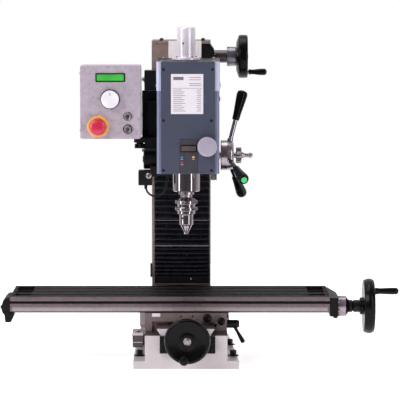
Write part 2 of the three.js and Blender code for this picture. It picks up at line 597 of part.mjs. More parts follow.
/** Metal push button that stands out of the panel. */
function pushButton({ x, z, shank }) {
  const face = -BOX.front;
  return turned([[0, face - 10], [shank, face - 10], [shank, face + 3.4], [shank - 0.8, face + 4], [0, face + 4]], 'y')
    .rotate([180, 0, 0]).translate([x, 0, z]);
}

/** Five-lobed knob with its stud. */
function swivelKnob() {
  const shape = new THREE.Shape(Array.from({ length: 40 }, (_, i) => {
    const angle = (i * Math.PI) / 20;
    const r = 11.6 + 1.9 * Math.cos(angle * 5);
    return new THREE.Vector2(r * Math.cos(angle), r * Math.sin(angle));
  }));
  const head = prism(shape, 'z', 474, 483).translate([SWIVEL.x, SWIVEL.y, 0]);
  return join(head, bar(8, 482, 486, 'z', [SWIVEL.x, SWIVEL.y, 0], 20), bar(4, 485, 496.6, 'z', [SWIVEL.x, SWIVEL.y, 0], 16));
}

// ---- quill, spindle and chuck ----
const TOOTH = { pitch: Math.PI * 1.5, tip: 0.5, root: 1.25, up: 1.3, down: 1.9 };

/** Quill with its rack on the back. */
function quill() {
  const { r, bottom, top } = QUILL;
  const { y, z, pitchR, rackWidth } = FEED;
  const line = y - pitchR;
  const tube = turned([[20, bottom], [r - 2, bottom], [r, bottom + 2], [r, top], [20, top], [20, bottom]], 'z', [0, 0, 0], 32);
  const seat = block(-rackWidth / 2 - 6, rackWidth / 2 + 6, line - TOOTH.down, line + 10, z - 16, z + 66);
  const rack = Array.from({ length: 14 }, (_, i) => {
    const at = z + (i - 0.5) * TOOTH.pitch;
    return prism([[line - TOOTH.down - 1, at - TOOTH.root], [line + TOOTH.up, at - TOOTH.tip], [line + TOOTH.up, at + TOOTH.tip],
      [line - TOOTH.down - 1, at + TOOTH.root]], 'x', -rackWidth / 2, rackWidth / 2);
  });
  return join(cut(tube, seat), ...rack);
}

/** Spindle through the quill with its nose below and splined tail above. */
function spindle() {
  return turned([[0, 366], [13, 366], [13, 371], [17, 372], [17, 378.6], [19.6, 379.4], [19.6, 540.6], [14, 541],
    [11.5, 545], [11.5, 655], [6, 655], [6, 664], [0, 664]], 'z', [0, 0, 0], 24);
}

/** Chuck body, two toothed rings, key sleeve and a slit cone for the three jaws. */
function drillChuck() {
  const body = turned([[0, 284], [3, 284], [12.6, 304.2], [13.5, 304.5], [15.2, 306], [15.2, 328], [19.3, 329.5],
    [19.3, 336.5], [24.7, 337], [24.7, 344], [19.6, 344.4], [19.6, 351.6], [24.7, 352], [24.7, 359], [20.5, 360],
    [18, 362], [12, 365.7], [0, 365.7]], 'z', [0, 0, 0], 24);
  const slits = [0, 120, 240].map((turn) => block(1.6, 14, -0.5, 0.5, 283, 303).rotate([0, 0, turn]));
  return cut(body, ...slits);
}

// ---- quill feed ----
/** Pinion shaft across the head. */
function feedShaft() {
  const { y, z, pitchR, teeth, rackWidth } = FEED;
  const toothPrism = (turn) => prism([[-TOOTH.root, pitchR - TOOTH.down - 1], [TOOTH.root, pitchR - TOOTH.down - 1],
    [TOOTH.tip, pitchR + TOOTH.up], [-TOOTH.tip, pitchR + TOOTH.up]], 'x', -rackWidth / 2, rackWidth / 2)
    .rotate([turn, 0, 0]);
  const gear = Array.from({ length: teeth }, (_, i) => toothPrism(90 + (360 / teeth) * i));
  const shaft = join(bar(9, -76, 74, 'x', [0, 0, 0], 28), bar(pitchR - TOOTH.down, -rackWidth / 2, rackWidth / 2, 'x', [0, 0, 0], 32),
    bar(6, 73, 98, 'x', [0, 0, 0], 20));
  return join(shaft, ...gear).translate([0, y, z]);
}

/** Bronze wheel on the pinion shaft that the worm turns. */
function wormWheel() {
  const { y, z } = FEED;
  return turned([[9 + GAP, 39], [WORM.wheelR, 39], [WORM.wheelR, 43], [WORM.wheelR - 1.5, 45.5], [WORM.wheelR, 48],
    [WORM.wheelR, 52], [9 + GAP, 52], [9 + GAP, 39]], 'x', [0, y, z], 28);
}

/** Round knob with the worm on its shaft. */
function fineFeedKnob() {
  const front = -(HEAD.front - 5);
  return turned([[0, -57], [5, -57], [5, -48], [WORM.r, -46], [WORM.r, -18], [5, -16], [5, front + 1], [12, front + 1],
    [12, front + 4], [20.5, front + 4], [21, front + 6], [21, front + 22], [20, front + 23], [0, front + 23]], 'y')
    .rotate([180, 0, 0]).translate([WORM.x, 0, WORM.z]);
}

const LEVER = { angles: [-12.5, 107.5, 227.5], rootX: 94, lean: 14.5, length: 145, rodR: 5, from: 24 };

/** Hub that the three feed levers screw into. */
function feedHub() {
  const at = [0, FEED.y, FEED.z];
  const body = turned([[6 + GAP, 75.5], [33, 75.5], [33, 90], [31, 101], [27, 104], [6 + GAP, 104], [6 + GAP, 75.5]], 'x', at, 24);
  return cut(body, ...LEVER.angles.map(leverHole));
}

/** A turned shape that leaves the hub at an angle measured from straight up towards the operator. */
function leverShape(angle, profile) {
  const [lean, around] = [(LEVER.lean * Math.PI) / 180, (angle * Math.PI) / 180];
  const way = new THREE.Vector3(Math.sin(lean), -Math.cos(lean) * Math.sin(around), Math.cos(lean) * Math.cos(around));
  const geometry = new THREE.LatheGeometry(profile.map(([r, h]) => new THREE.Vector2(r, h)), 14);
  geometry.applyQuaternion(new THREE.Quaternion().setFromUnitVectors(new THREE.Vector3(0, 1, 0), way));
  return solid(geometry.translate(LEVER.rootX - 6, FEED.y, FEED.z));
}

/** The hole in the hub for one lever. */
function leverHole(angle) {
  const { rodR, from } = LEVER;
  return leverShape(angle, [[0, from - 1], [rodR + GAP, from - 1], [rodR + GAP, 60], [0, 60]]);
}

/** One feed lever with its tapered grip. */
function feedLever(angle) {
  const { length, rodR, from } = LEVER;
  return leverShape(angle, [[0, from], [rodR, from], [rodR, length - 67], [7, length - 66], [11, length - 8],
    [9, length - 1], [0, length]]);
}

/** Winged nut that locks the hub to the worm wheel. */
function hubLockKnob() {
  const wings = join(prism(roundRect(-17.5, 17.5, -5.5, 5.5, 4), 'x', 109, 121), prism(roundRect(-5.5, 5.5, -17.5, 17.5, 4), 'x', 109, 121));
  return join(wings, bar(6, 104.6, 110, 'x', [0, 0, 0], 20), turned([[0, 120], [7, 120], [4.5, 128], [4.5, 138], [5.5, 140], [5.5, 143],
    [3, 146], [0, 146]], 'x')).translate([0, FEED.y, FEED.z]);
}

// ---- locks ----
/** Small ball-ended lock knob on a stud that faces the operator. */
function lockKnob({ x, z, r }) {
  const face = -SADDLE.front;
  return turned([[0, face - 12], [4.6, face - 12], [4.6, face + 8], [r * 0.7, face + 10], [r, face + 16], [r, face + 21],
    [r * 0.75, face + 25], [0, face + 26.5]], 'y', [0, 0, 0], 18).rotate([180, 0, 0]).translate([x, 0, z]);
}

/** Clamp lever on the right flank of the saddle. */
function clampLever() {
  const hub = bar(9, SADDLE.right + GAP, SADDLE.right + 28, 'x', [0, 10, 84], 28);
  const stud = bar(4.6, SADDLE.right - 12, SADDLE.right + 2, 'x', [0, 10, 84], 16);
  return join(hub, stud, rod([106, 10, 82], [126, -2, 44], 4.2, 4.8));
}

// ---- build ----
function buildFrame() {
  const group = assembly('base_and_column');
  add(group, 'base_casting', 'whitePaint', baseCasting());
  add(group, 'column_casting', 'groundIron', columnCasting());
  add(group, 'column_top_plate', 'castIron', columnTopPlate());
  add(group, 'z_drive_housing', 'blackCast', zDriveHousing());
  add(group, 'bellows', 'rubber', bellows());
  add(group, 'y_screw_bracket', 'blackCast', yScrewBracket());
  add(group, 'oil_reservoir', 'greyPlastic', oilReservoir());
  add(group, 'z_screw', 'steel', zScrew());
}

function buildTable() {
  const group = assembly('saddle_and_table');
  add(group, 'saddle', 'castIron', saddleCasting());
  add(group, 'x_nut', 'bronze', xNut());
  add(group, 'y_nut', 'bronze', yNut());
  add(group, 'table_lock_knob', 'black', lockKnob(LOCKS[0]));
  add(group, 'saddle_lock_knob', 'black', lockKnob(LOCKS[1]));
  add(group, 'saddle_clamp_lever', 'black', clampLever());
  add(group, 'table', 'groundIron', tableCasting());
  add(group, 'left_end_bracket', 'blackCast', leftEndBracket());
  add(group, 'right_end_bracket', 'castIron', rightEndBracket());
}

function buildHead() {
  const group = assembly('head');
  add(group, 'head_casting', 'palePaint', headCasting());
  add(group, 'belt_cover', 'palePaint', beltCover());
  add(group, 'front_cover', 'slatePaint', frontCover());
  add(group, 'head_carriage', 'blackCast', headCarriage());
  add(group, 'spindle_cap', 'aluminium', spindleCap());
  add(group, 'readout_panel', 'black', readoutPanel());
  add(group, 'spring_housing', 'blackCast', springHousing());
  add(group, 'drive_motor', 'blackCast', driveMotor());
  add(group, 'motor_pulley', 'aluminium', pulley(16.4, 0, [MOTOR.x, MOTOR.y, 0], [bar(5, 563, 573, 'z', [MOTOR.x, MOTOR.y, 0], 16)]));
  add(group, 'spindle_pulley', 'aluminium', pulley(33.4, 11.5 + GAP, [0, 0, 0]));
  add(group, 'drive_belt', 'rubber', driveBelt());
  add(group, 'sensor_box', 'black', sensorBox());
  add(group, 'sensor_lead', 'rubber', lead(SENSOR_LEAD, 2.2, 32));
  add(group, 'box_bracket', 'blackCast', boxBracket());
}

function buildSpindle() {
  const group = assembly('quill_and_spindle');
  add(group, 'quill', 'chrome', quill());
  add(group, 'spindle', 'steel', spindle());
  add(group, 'drill_chuck', 'chrome', drillChuck());
  add(group, 'feed_shaft', 'steel', feedShaft());
  add(group, 'feed_worm_wheel', 'bronze', wormWheel());
  add(group, 'fine_feed_knob', 'aluminium', fineFeedKnob());
  add(group, 'feed_hub', 'steel', feedHub());
  LEVER.angles.forEach((angle, i) => add(group, `feed_lever_${i + 1}`, 'black', feedLever(angle)));
  add(group, 'hub_lock_knob', 'steel', hubLockKnob());
}

function buildControls() {
  const group = assembly('controls');
  add(group, 'control_box', 'stainless', controlBox());
  add(group, 'speed_knob', 'aluminium', speedKnob());
  add(group, 'estop_button', 'red', estopButton());
  add(group, 'start_button', 'steel', pushButton(PANEL.start));
  add(group, 'stop_button', 'steel', pushButton(PANEL.stop));
  add(group, 'swivel_knob', 'black', swivelKnob());
}

buildFrame();
buildTable();
xDrive();
yDrive();
zDrive();
buildHead();
buildSpindle();
buildControls();

export default machine;
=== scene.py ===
"""Benchtop milling machine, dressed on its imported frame.

Sizes in the classes are millimetres; meshes are made in metres, in the frame's own axes:
+X right, +Y away from the operator, +Z up, with the origin on the bench under the spindle.
"""

import sys

import logging
import math
from collections.abc import Callable
from dataclasses import dataclass, replace
from enum import Enum

import bmesh
import bpy
from mathutils import Matrix, Vector

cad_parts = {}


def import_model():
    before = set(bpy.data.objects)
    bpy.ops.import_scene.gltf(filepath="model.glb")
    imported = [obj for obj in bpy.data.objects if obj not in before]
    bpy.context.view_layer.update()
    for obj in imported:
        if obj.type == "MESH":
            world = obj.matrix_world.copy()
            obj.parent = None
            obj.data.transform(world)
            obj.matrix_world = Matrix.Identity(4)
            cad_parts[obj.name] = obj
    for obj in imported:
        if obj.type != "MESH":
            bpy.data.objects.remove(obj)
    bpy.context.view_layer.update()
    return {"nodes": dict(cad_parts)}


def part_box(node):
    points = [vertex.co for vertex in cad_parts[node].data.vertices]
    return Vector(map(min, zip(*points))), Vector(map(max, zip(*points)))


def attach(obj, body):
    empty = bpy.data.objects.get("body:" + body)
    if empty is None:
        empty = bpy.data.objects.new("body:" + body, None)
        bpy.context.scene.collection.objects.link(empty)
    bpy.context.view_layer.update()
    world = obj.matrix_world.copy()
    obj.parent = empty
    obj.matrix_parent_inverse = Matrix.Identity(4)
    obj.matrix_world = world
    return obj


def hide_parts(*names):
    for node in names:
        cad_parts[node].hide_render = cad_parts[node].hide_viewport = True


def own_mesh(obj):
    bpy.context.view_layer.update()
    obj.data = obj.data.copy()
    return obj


MM = 0.001
Vec3 = tuple[float, float, float]
Profile = list[tuple[float, float]]
LOG = logging.getLogger("benchtop_mill")
NODES: dict[str, bpy.types.Object] = {}
SHARP_EDGE = 38.0
COAT_ROUGHNESS = 0.12
BLOTCH_GRAINS = 22
BLOTCH_SHARE = 0.6
BUMP_SHARE = 0.3


# ---------------------------------------------------------------- places and boxes


class Toward(Enum):
    """The way a turned or extruded shape points, as the row axes of its own x, y and z."""

    RIGHT = ((0, 1, 0), (0, 0, 1), (1, 0, 0))
    LEFT = ((0, -1, 0), (0, 0, 1), (-1, 0, 0))
    FRONT = ((1, 0, 0), (0, 0, 1), (0, -1, 0))
    UP = ((1, 0, 0), (0, 1, 0), (0, 0, 1))
    DOWN = ((1, 0, 0), (0, -1, 0), (0, 0, -1))

    def at(self, x: float, y: float, z: float) -> Matrix:
        """The place whose own z points this way from a point in millimetres."""
        turn = Matrix(self.value).transposed().to_4x4()
        return Matrix.Translation((x, y, z)) @ turn


@dataclass(frozen=True)
class Box:
    """A node's box at rest, in millimetres."""

    lo: Vector
    hi: Vector

    @classmethod
    def of(cls, node: str) -> "Box":
        """The box of a CAD node."""
        low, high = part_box(node)
        return cls(Vector(low) / MM, Vector(high) / MM)

    @property
    def mid(self) -> Vector:
        """The box's centre."""
        return (self.lo + self.hi) / 2


# ---------------------------------------------------------------- finishes


class Grain(Enum):
    """The fine structure of a surface."""

    CAST = "cast"
    BRUSHED = "brushed"
    TURNED = "turned"
    SPRAYED = "sprayed"
    MOULDED = "moulded"
    PLEATED = "pleated"


@dataclass(frozen=True)
class Finish:
    """A surface finish with its own grain, colour drift, roughness drift and relief.

    The colour is display red, green and blue from 0 to 255, size is the grain in millimetres,
    along is the row axis that brushing follows or turning goes round, and centre is a point on
    the axis of a turned piece, in millimetres. Spun is how far the tool marks stretch a highlight
    across the turning, and shine is how strongly a surface that is not metal mirrors its
    surroundings.
    """

    name: str
    colour: tuple[int, int, int]
    roughness: float
    metallic: float = 0.0
    grain: Grain = Grain.MOULDED
    size: float = 1.5
    relief: float = 0.1
    drift: float = 0.12
    coat: float = 0.0
    along: int = 0
    centre: Vec3 = (0.0, 0.0, 0.0)
    glow: float = 0.0
    spun: float = 0.0
    shine: float = 0.5

    def linear(self, gain: float = 1.0) -> tuple[float, float, float, float]:
        """The colour in linear light, brightened by a gain."""
        parts = [((c / 255 + 0.055) / 1.055) ** 2.4 if c > 10 else c / 255 / 12.92 for c in self.colour]
        return (*[min(1.0, p * gain) for p in parts], 1.0)

    def material(self) -> bpy.types.Material:
        """The node material of this finish, made once."""
        label = f"{self.name}_finish"
        found = bpy.data.materials.get(label)
        if found:
            return found
        material = bpy.data.materials.new(label)
        material.use_nodes = True
        graph = Graph(material.node_tree)
        shader = graph.tree.nodes["Principled BSDF"]
        shader.inputs["Metallic"].default_value = self.metallic
        shader.inputs["Specular IOR Level"].default_value = self.shine
        shader.inputs["Coat Weight"].default_value = self.coat
        shader.inputs["Coat Roughness"].default_value = COAT_ROUGHNESS
        if self.glow:
            shader.inputs["Emission Color"].default_value = self.linear()
            shader.inputs["Emission Strength"].default_value = self.glow
        place = graph.place(self.centre)
        if self.spun:
            shader.inputs["Anisotropic"].default_value = self.spun
            graph.link(self._round(graph, place), shader.inputs["Tangent"])
        blotch = graph.noise(place, 1 / (self.size * MM * BLOTCH_GRAINS), 4.0, 0.6)
        fine = self._grain(graph, place)
        mixed = graph.maths("MULTIPLY_ADD", blotch, BLOTCH_SHARE,
                            graph.maths("MULTIPLY", fine, 1 - BLOTCH_SHARE))
        colour = graph.ramp(mixed, [(0.28, self.linear(1 - self.drift * 1.6)), (0.5, self.linear()),
                                    (0.74, self.linear(1 + self.drift))])
        graph.link(colour, shader.inputs["Base Color"])
        rough = graph.spread(mixed, self.roughness * 0.78, min(1.0, self.roughness * 1.3))
        graph.link(rough, shader.inputs["Roughness"])
        bump = graph.add("ShaderNodeBump")
        bump.inputs["Strength"].default_value = self.relief
        bump.inputs["Distance"].default_value = self.size * MM * BUMP_SHARE
        graph.link(fine, bump.inputs["Height"])
        graph.link(bump.outputs["Normal"], shader.inputs["Normal"])
        return material

    def _round(self, graph: "Graph", place: bpy.types.NodeSocket) -> bpy.types.NodeSocket:
        """The direction of the tool marks, square to the axis and the radius."""
        cross = graph.add("ShaderNodeVectorMath")
        cross.operation = "CROSS_PRODUCT"
        cross.inputs[0].default_value = [float(i == self.along) for i in range(3)]
        graph.link(place, cross.inputs[1])
        return cross.outputs[0]

    def _grain(self, graph: "Graph", place: bpy.types.NodeSocket) -> bpy.types.NodeSocket:
        """The height of the grain, from 0 to 1.

        Args:
            graph: the material's node graph.
            place: the object coordinates to read.

        Returns:
            The socket that carries the height.
        """
        scale = 1 / (self.size * MM)
        if self.grain is Grain.BRUSHED:
            stretch = [scale, scale, scale]
            stretch[self.along] = scale / 28
            return graph.noise(graph.stretched(place, tuple(stretch)), 1.0, 3.0, 0.55)
        if self.grain is Grain.TURNED:
            split = graph.add("ShaderNodeSeparateXYZ")
            graph.link(place, split.inputs[0])
            parts = [split.outputs[i] for i in range(3)]
            axial = parts.pop(self.along)
            join = graph.add("ShaderNodeCombineXYZ")
            radius = graph.maths("SQRT", graph.maths("ADD", graph.maths("MULTIPLY", parts[0], parts[0]),
                                                     graph.maths("MULTIPLY", parts[1], parts[1])))
            graph.link(radius, join.inputs[0])
            graph.link(axial, join.inputs[1])
            return graph.noise(join.outputs[0], scale, 3.0, 0.7)
        if self.grain is Grain.CAST:
            coarse = graph.noise(place, scale, 8.0, 0.65)
            cells = graph.add("ShaderNodeTexVoronoi")
            cells.inputs["Scale"].default_value = scale * 0.8
            graph.link(place, cells.inputs["Vector"])
            return graph.maths("MULTIPLY_ADD", cells.outputs["Distance"], 0.45,
                               graph.maths("MULTIPLY", coarse, 0.7))
        if self.grain is Grain.SPRAYED:
            return graph.noise(place, scale, 2.0, 0.4)
        if self.grain is Grain.PLEATED:
            return graph.noise(graph.stretched(place, (scale * 0.2, scale, scale * 2.5)), 1.0, 5.0, 0.7)
        return graph.noise(place, scale * 2, 5.0, 0.5)


class Graph:
    """Short words for building a material's nodes."""

    def __init__(self, tree: bpy.types.NodeTree) -> None:
        """Keeps the tree that nodes are added to."""
        self.tree = tree

    def add(self, kind: str) -> bpy.types.Node:
        """Adds a node of a kind."""
        return self.tree.nodes.new(kind)

    def link(self, source: bpy.types.NodeSocket, target: bpy.types.NodeSocket) -> None:
        """Joins an output to an input."""
        self.tree.links.new(source, target)

    def place(self, centre: Vec3) -> bpy.types.NodeSocket:
        """Object coordinates counted from a point in millimetres."""
        coordinates = self.add("ShaderNodeTexCoord")
        mapping = self.add("ShaderNodeMapping")
        mapping.inputs["Location"].default_value = [-c * MM for c in centre]
        self.link(coordinates.outputs["Object"], mapping.inputs["Vector"])
        return mapping.outputs["Vector"]

    def stretched(self, place: bpy.types.NodeSocket, scale: Vec3) -> bpy.types.NodeSocket:
        """Coordinates scaled by a different amount on each axis."""
        mapping = self.add("ShaderNodeMapping")
        mapping.inputs["Scale"].default_value = scale
        self.link(place, mapping.inputs["Vector"])
        return mapping.outputs["Vector"]

    def noise(self, place: bpy.types.NodeSocket, scale: float, detail: float,
              rough: float) -> bpy.types.NodeSocket:
        """A noise height at a scale."""
        node = self.add("ShaderNodeTexNoise")
        node.inputs["Scale"].default_value = scale
        node.inputs["Detail"].default_value = detail
        node.inputs["Roughness"].default_value = rough
        self.link(place, node.inputs["Vector"])
        return node.outputs["Fac"]

    def maths(self, operation: str, *values: object) -> bpy.types.NodeSocket:
        """A maths node fed by sockets or numbers."""
        node = self.add("ShaderNodeMath")
        node.operation = operation
        for value, socket in zip(values, node.inputs):
            if isinstance(value, (int, float)):
                socket.default_value = value
            else:
                self.link(value, socket)
        return node.outputs[0]

    def spread(self, value: bpy.types.NodeSocket, low: float, high: float) -> bpy.types.NodeSocket:
        """A height from about 0.3 to 0.7, spread from low to high."""
        node = self.add("ShaderNodeMapRange")
        for name, number in (("From Min", 0.3), ("From Max", 0.7), ("To Min", low), ("To Max", high)):
            node.inputs[name].default_value = number
        self.link(value, node.inputs["Value"])
        return node.outputs["Result"]

    def ramp(self, value: bpy.types.NodeSocket, stops: list[tuple[float, tuple]]) -> bpy.types.NodeSocket:
        """A colour ramp with its stops."""
        node = self.add("ShaderNodeValToRGB")
        while len(node.color_ramp.elements) < len(stops):
            node.color_ramp.elements.new(0.5)
        for element, (at, colour) in zip(node.color_ramp.elements, stops):
            element.position = at
            element.color = colour
        self.link(value, node.inputs["Fac"])
        return node.outputs["Color"]


WHITE_PAINT = Finish("white_paint", (200, 190, 194), 0.34, grain=Grain.SPRAYED, size=1.2, relief=0.12,
                     drift=0.05, coat=0.2)
SLATE_PAINT = Finish("slate_paint", (62, 66, 84), 0.5, grain=Grain.SPRAYED, size=0.9, relief=0.16, drift=0.07,
                     shine=0.35)
# Painted highlight: the belt cover's paint is the head's paint lightened to the brightness of its lit left
# edge.
LIT_LID_PAINT = Finish("lid_paint", (190, 191, 222), 0.34, grain=Grain.SPRAYED, size=0.9, relief=0.14, drift=0.06,
                   coat=0.1)
PALE_PAINT = Finish("pale_slate_paint", (118, 122, 150), 0.36, grain=Grain.SPRAYED, size=0.9, relief=0.14,
                    drift=0.06, coat=0.1)
CAST_IRON = Finish("cast_iron", (116, 100, 100), 0.5, 0.3, Grain.CAST, 1.6, 0.4, 0.25)
MILLED_IRON = Finish("milled_iron", (112, 98, 100), 0.36, 0.8, Grain.BRUSHED, 0.5, 0.22, 0.2, along=0)
GROUND_WAY = Finish("ground_way", (158, 138, 130), 0.34, 0.5, Grain.BRUSHED, 0.6, 0.08, 0.14, along=2)
STEEL = Finish("turned_steel", (150, 142, 148), 0.26, 1.0, Grain.TURNED, 0.4, 0.06, 0.15)
CHROME = Finish("chrome", (158, 149, 155), 0.07, 1.0, Grain.TURNED, 0.5, 0.006, 0.06)
ALUMINIUM = Finish("aluminium", (214, 206, 216), 0.3, 1.0, Grain.TURNED, 0.3, 0.15, 0.08)
STAINLESS = Finish("brushed_stainless", (208, 193, 208), 0.32, 0.5, Grain.BRUSHED, 0.35, 0.16, 0.16, along=2)
BLACK_CAST = Finish("black_cast", (13, 12, 13), 0.45, 0.0, Grain.CAST, 1.4, 0.3, 0.3, shine=0.15)
BLACK_PLASTIC = Finish("black_plastic", (6, 6, 7), 0.24, size=0.8, relief=0.04, drift=0.3, shine=0.14)
BLACK_SATIN = Finish("black_satin", (11, 10, 12), 0.4, size=0.6, relief=0.2, drift=0.3, shine=0.25)
RUBBER = Finish("pleated_rubber", (27, 27, 34), 0.28, grain=Grain.PLEATED, size=0.9, relief=0.3, drift=0.35)
LEAD_SHEATH = Finish("lead_sheath", (12, 12, 14), 0.35, size=0.5, relief=0.1, shine=0.3)
BRONZE = Finish("bronze", (176, 132, 66), 0.35, 1.0, Grain.TURNED, 0.4, 0.2)
RED_PLASTIC = Finish("red_plastic", (190, 32, 66), 0.28, size=0.8, relief=0.06, drift=0.1, coat=0.4)
YELLOW_PLASTIC = Finish("yellow_plastic", (246, 178, 40), 0.35, size=0.8, relief=0.06, drift=0.08)
GREEN_PLASTIC = Finish("green_plastic", (52, 196, 112), 0.35, size=0.8, relief=0.06, drift=0.08)
BLUE_PLASTIC = Finish("blue_plastic", (44, 118, 196), 0.35, size=0.8, relief=0.06, drift=0.08)
GREY_TANK = Finish("grey_tank", (82, 71, 71), 0.45, size=1.0, relief=0.15, drift=0.2, shine=0.3)
DISPLAY_GREEN = Finish("display_green", (66, 172, 70), 0.25, size=2.0, relief=0.02, drift=0.25, glow=0.06)
WINDOW_BROWN = Finish("window_brown", (88, 74, 74), 0.15, size=1.0, relief=0.02, drift=0.1, coat=0.5)
# Painted reflection: near-white with little metal, this stands for the bright reflection on the polished
# front of the column top.
SLOT_COVER_SHEEN = Finish("bright_plate", (252, 242, 242), 0.4, 0.1, Grain.BRUSHED, 0.5, 0.08, 0.06, along=2)
NECK_STEEL = Finish("neck_steel", (86, 80, 84), 0.3, 0.9, Grain.TURNED, 0.4, 0.05, 0.12, along=0,
                    centre=(0.0, 236.0, 665.0))
TABLE_TOP = Finish("table_top", (20, 16, 17), 0.6, 0.0, Grain.BRUSHED, 0.5, 0.2, 0.3, along=0, shine=0.08)
RULE_METAL = Finish("rule_metal", (158, 146, 152), 0.4, 0.5, Grain.BRUSHED, 0.4, 0.08, 0.1, along=0)
DIAL_PALE = Finish("dial_pale", (158, 146, 158), 0.28, 0.9, Grain.TURNED, 0.4, 0.05, 0.1)
DIAL_GREY = Finish("dial_grey", (134, 127, 138), 0.3, 0.9, Grain.TURNED, 0.4, 0.05, 0.12)
POLISHED = Finish("polished_aluminium", (228, 220, 231), 0.32, 0.3, Grain.TURNED, 0.4, 0.02, 0.05, along=2)
READOUT_BODY = Finish("readout_body", (56, 54, 61), 0.4, size=0.6, relief=0.12, drift=0.2)
LABEL_WHITE = Finish("label_white", (222, 215, 224), 0.45, size=0.5, relief=0.03, drift=0.03)
PRINT_GREY = Finish("print_grey", (112, 104, 116), 0.6, size=0.5, relief=0.02, drift=0.15)
INK = Finish("ink", (58, 54, 62), 0.6, size=0.5, relief=0.02, drift=0.2)
FLOOR = Finish("floor", (250, 250, 250), 0.7, size=20.0, relief=0.0, drift=0.004, glow=0.6)


# ---------------------------------------------------------------- mesh work


def eased(profile: Profile, radius: float, steps: int = 3) -> Profile:
    """A profile with its inner corners rounded.

    Args:
        profile: the points of an open outline.
        radius: how far each corner is cut back, at most 45% of either side.
        steps: points on each rounded corner, less one.

    Returns:
        The longer list of points.
    """
    points = [Vector(p) for p in profile]
    out = [points[0]]
    for before, corner, after in zip(points, points[1:], points[2:]):
        back, on = before - corner, after - corner
        reach = min(radius, back.length * 0.45, on.length * 0.45)
        start, end = corner + back.normalized() * reach, corner + on.normalized() * reach
        for i in range(steps + 1):
            t = i / steps
            out.append(start * (1 - t) ** 2 + corner * 2 * t * (1 - t) + end * t * t)
    return [tuple(p) for p in [*out, points[-1]]]


def rounded(w0: float, w1: float, h0: float, h1: float, r: float, steps: int = 6) -> Profile:
    """The outline of a rectangle with round corners."""
    centres = [(w1 - r, h0 + r, -90), (w1 - r, h1 - r, 0), (w0 + r, h1 - r, 90), (w0 + r, h0 + r, 180)]
    out = []
    for cx, cy, start in centres:
        for i in range(steps + 1):
            angle = math.radians(start + 90 * i / steps)
            out.append((cx + r * math.cos(angle), cy + r * math.sin(angle)))
    return out


def circle(r: float, count: int = 48, x: float = 0.0, y: float = 0.0) -> Profile:
    """The outline of a circle."""
    return [(x + r * math.cos(math.tau * i / count), y + r * math.sin(math.tau * i / count))
            for i in range(count)]


def to_object(name: str, bm: bmesh.types.BMesh, place: Matrix = Matrix(),
              sharp: float = SHARP_EDGE) -> bpy.types.Object:
    """Makes an object at the origin from a mesh in millimetres.

    Args:
        name: the object's name.
        bm: the mesh, which is freed.
        place: where the mesh goes, in millimetres.
        sharp: the angle over which an edge stays sharp, in degrees.

    Returns:
        The new object, linked to the scene.
    """
    bm.transform(Matrix.Scale(MM, 4) @ place)
    bmesh.ops.recalc_face_normals(bm, faces=bm.faces)
    mesh = bpy.data.meshes.new(name)
    bm.to_mesh(mesh)
    bm.free()
    mesh.shade_smooth()
    mesh.set_sharp_from_angle(angle=math.radians(sharp))
    made = bpy.data.objects.new(name, mesh)
    bpy.context.collection.objects.link(made)
    return weighted(made)


def applied(made: bpy.types.Object) -> bpy.types.Mesh:
    """Turns an object's modifiers into plain mesh and returns it."""
    mesh = bpy.data.meshes.new_from_object(made.evaluated_get(bpy.context.evaluated_depsgraph_get()))
    made.modifiers.clear()
    old, made.data = made.data, mesh
    mesh.name = made.name
    if old.users == 0:
        bpy.data.meshes.remove(old)
    return mesh


def weighted(made: bpy.types.Object) -> bpy.types.Object:
    """Makes shading follow the large faces, so that flats stay flat beside rounded edges."""
    weighting = made.modifiers.new("weighting", "WEIGHTED_NORMAL")
    weighting.keep_sharp = True
    weighting.weight = 60
    applied(made)
    return made


def baked(made: bpy.types.Object, sharp: float = SHARP_EDGE) -> bpy.types.Object:
    """Turns an object's modifiers into plain mesh and shades it again."""
    mesh = applied(made)
    stale = mesh.attributes.get("custom_normal")
    if stale:
        mesh.attributes.remove(stale)
    mesh.shade_smooth()
    mesh.set_sharp_from_angle(angle=math.radians(sharp))
    return weighted(made)


def bevelled(made: bpy.types.Object, width: float, segments: int = 2,
             limit: float = 32.0) -> bpy.types.Object:
    """Rounds an object's sharp edges by a width in millimetres."""
    bevel = made.modifiers.new("bevel", "BEVEL")
    bevel.width = width * MM
    bevel.segments = segments
    bevel.limit_method = "ANGLE"
    bevel.angle_limit = math.radians(limit)
    return baked(made, 50.0)


def turned(name: str, profile: Profile, place: Matrix, segments: int = 72,
           loop: bool = False) -> bpy.types.Object:
    """Revolves radius and height pairs about a place's own z.

    Args:
        name: the object's name.
        profile: the points, open with both ends on the axis, or a loop.
        place: the axis.
        segments: faces round the axis.
        loop: whether the profile closes on itself.

    Returns:
        The turned object.
    """
    bm = bmesh.new()
    rows = []
    for r, h in profile:
        count = 1 if r < 1e-6 else segments
        rows.append([bm.verts.new((r * math.cos(math.tau * i / segments),
                                   r * math.sin(math.tau * i / segments), h))
                     for i in range(count)])
    for a, b in zip(rows, rows[1:] + (rows[:1] if loop else [])):
        for i in range(segments):
            j = (i + 1) % segments
            corners = [a[i % len(a)], a[j % len(a)], b[j % len(b)], b[i % len(b)]]
            unique = list(dict.fromkeys(corners))
            if len(unique) > 2:
                bm.faces.new(unique)
    return to_object(name, bm, place)


def slab(name: str, outline: Profile, place: Matrix, depth: float, ease: float = 0.0) -> bpy.types.Object:
    """Pushes an outline along a place's own z and rounds its edges."""
    bm = bmesh.new()
    bottom = [bm.verts.new((x, y, 0)) for x, y in outline]
    top = [bm.verts.new((x, y, depth)) for x, y in outline]
    bm.faces.new(bottom[::-1])
    bm.faces.new(top)
    for i in range(len(outline)):
        j = (i + 1) % len(outline)
        bm.faces.new([bottom[i], bottom[j], top[j], top[i]])
    made = to_object(name, bm, place)
    return bevelled(made, ease) if ease else made


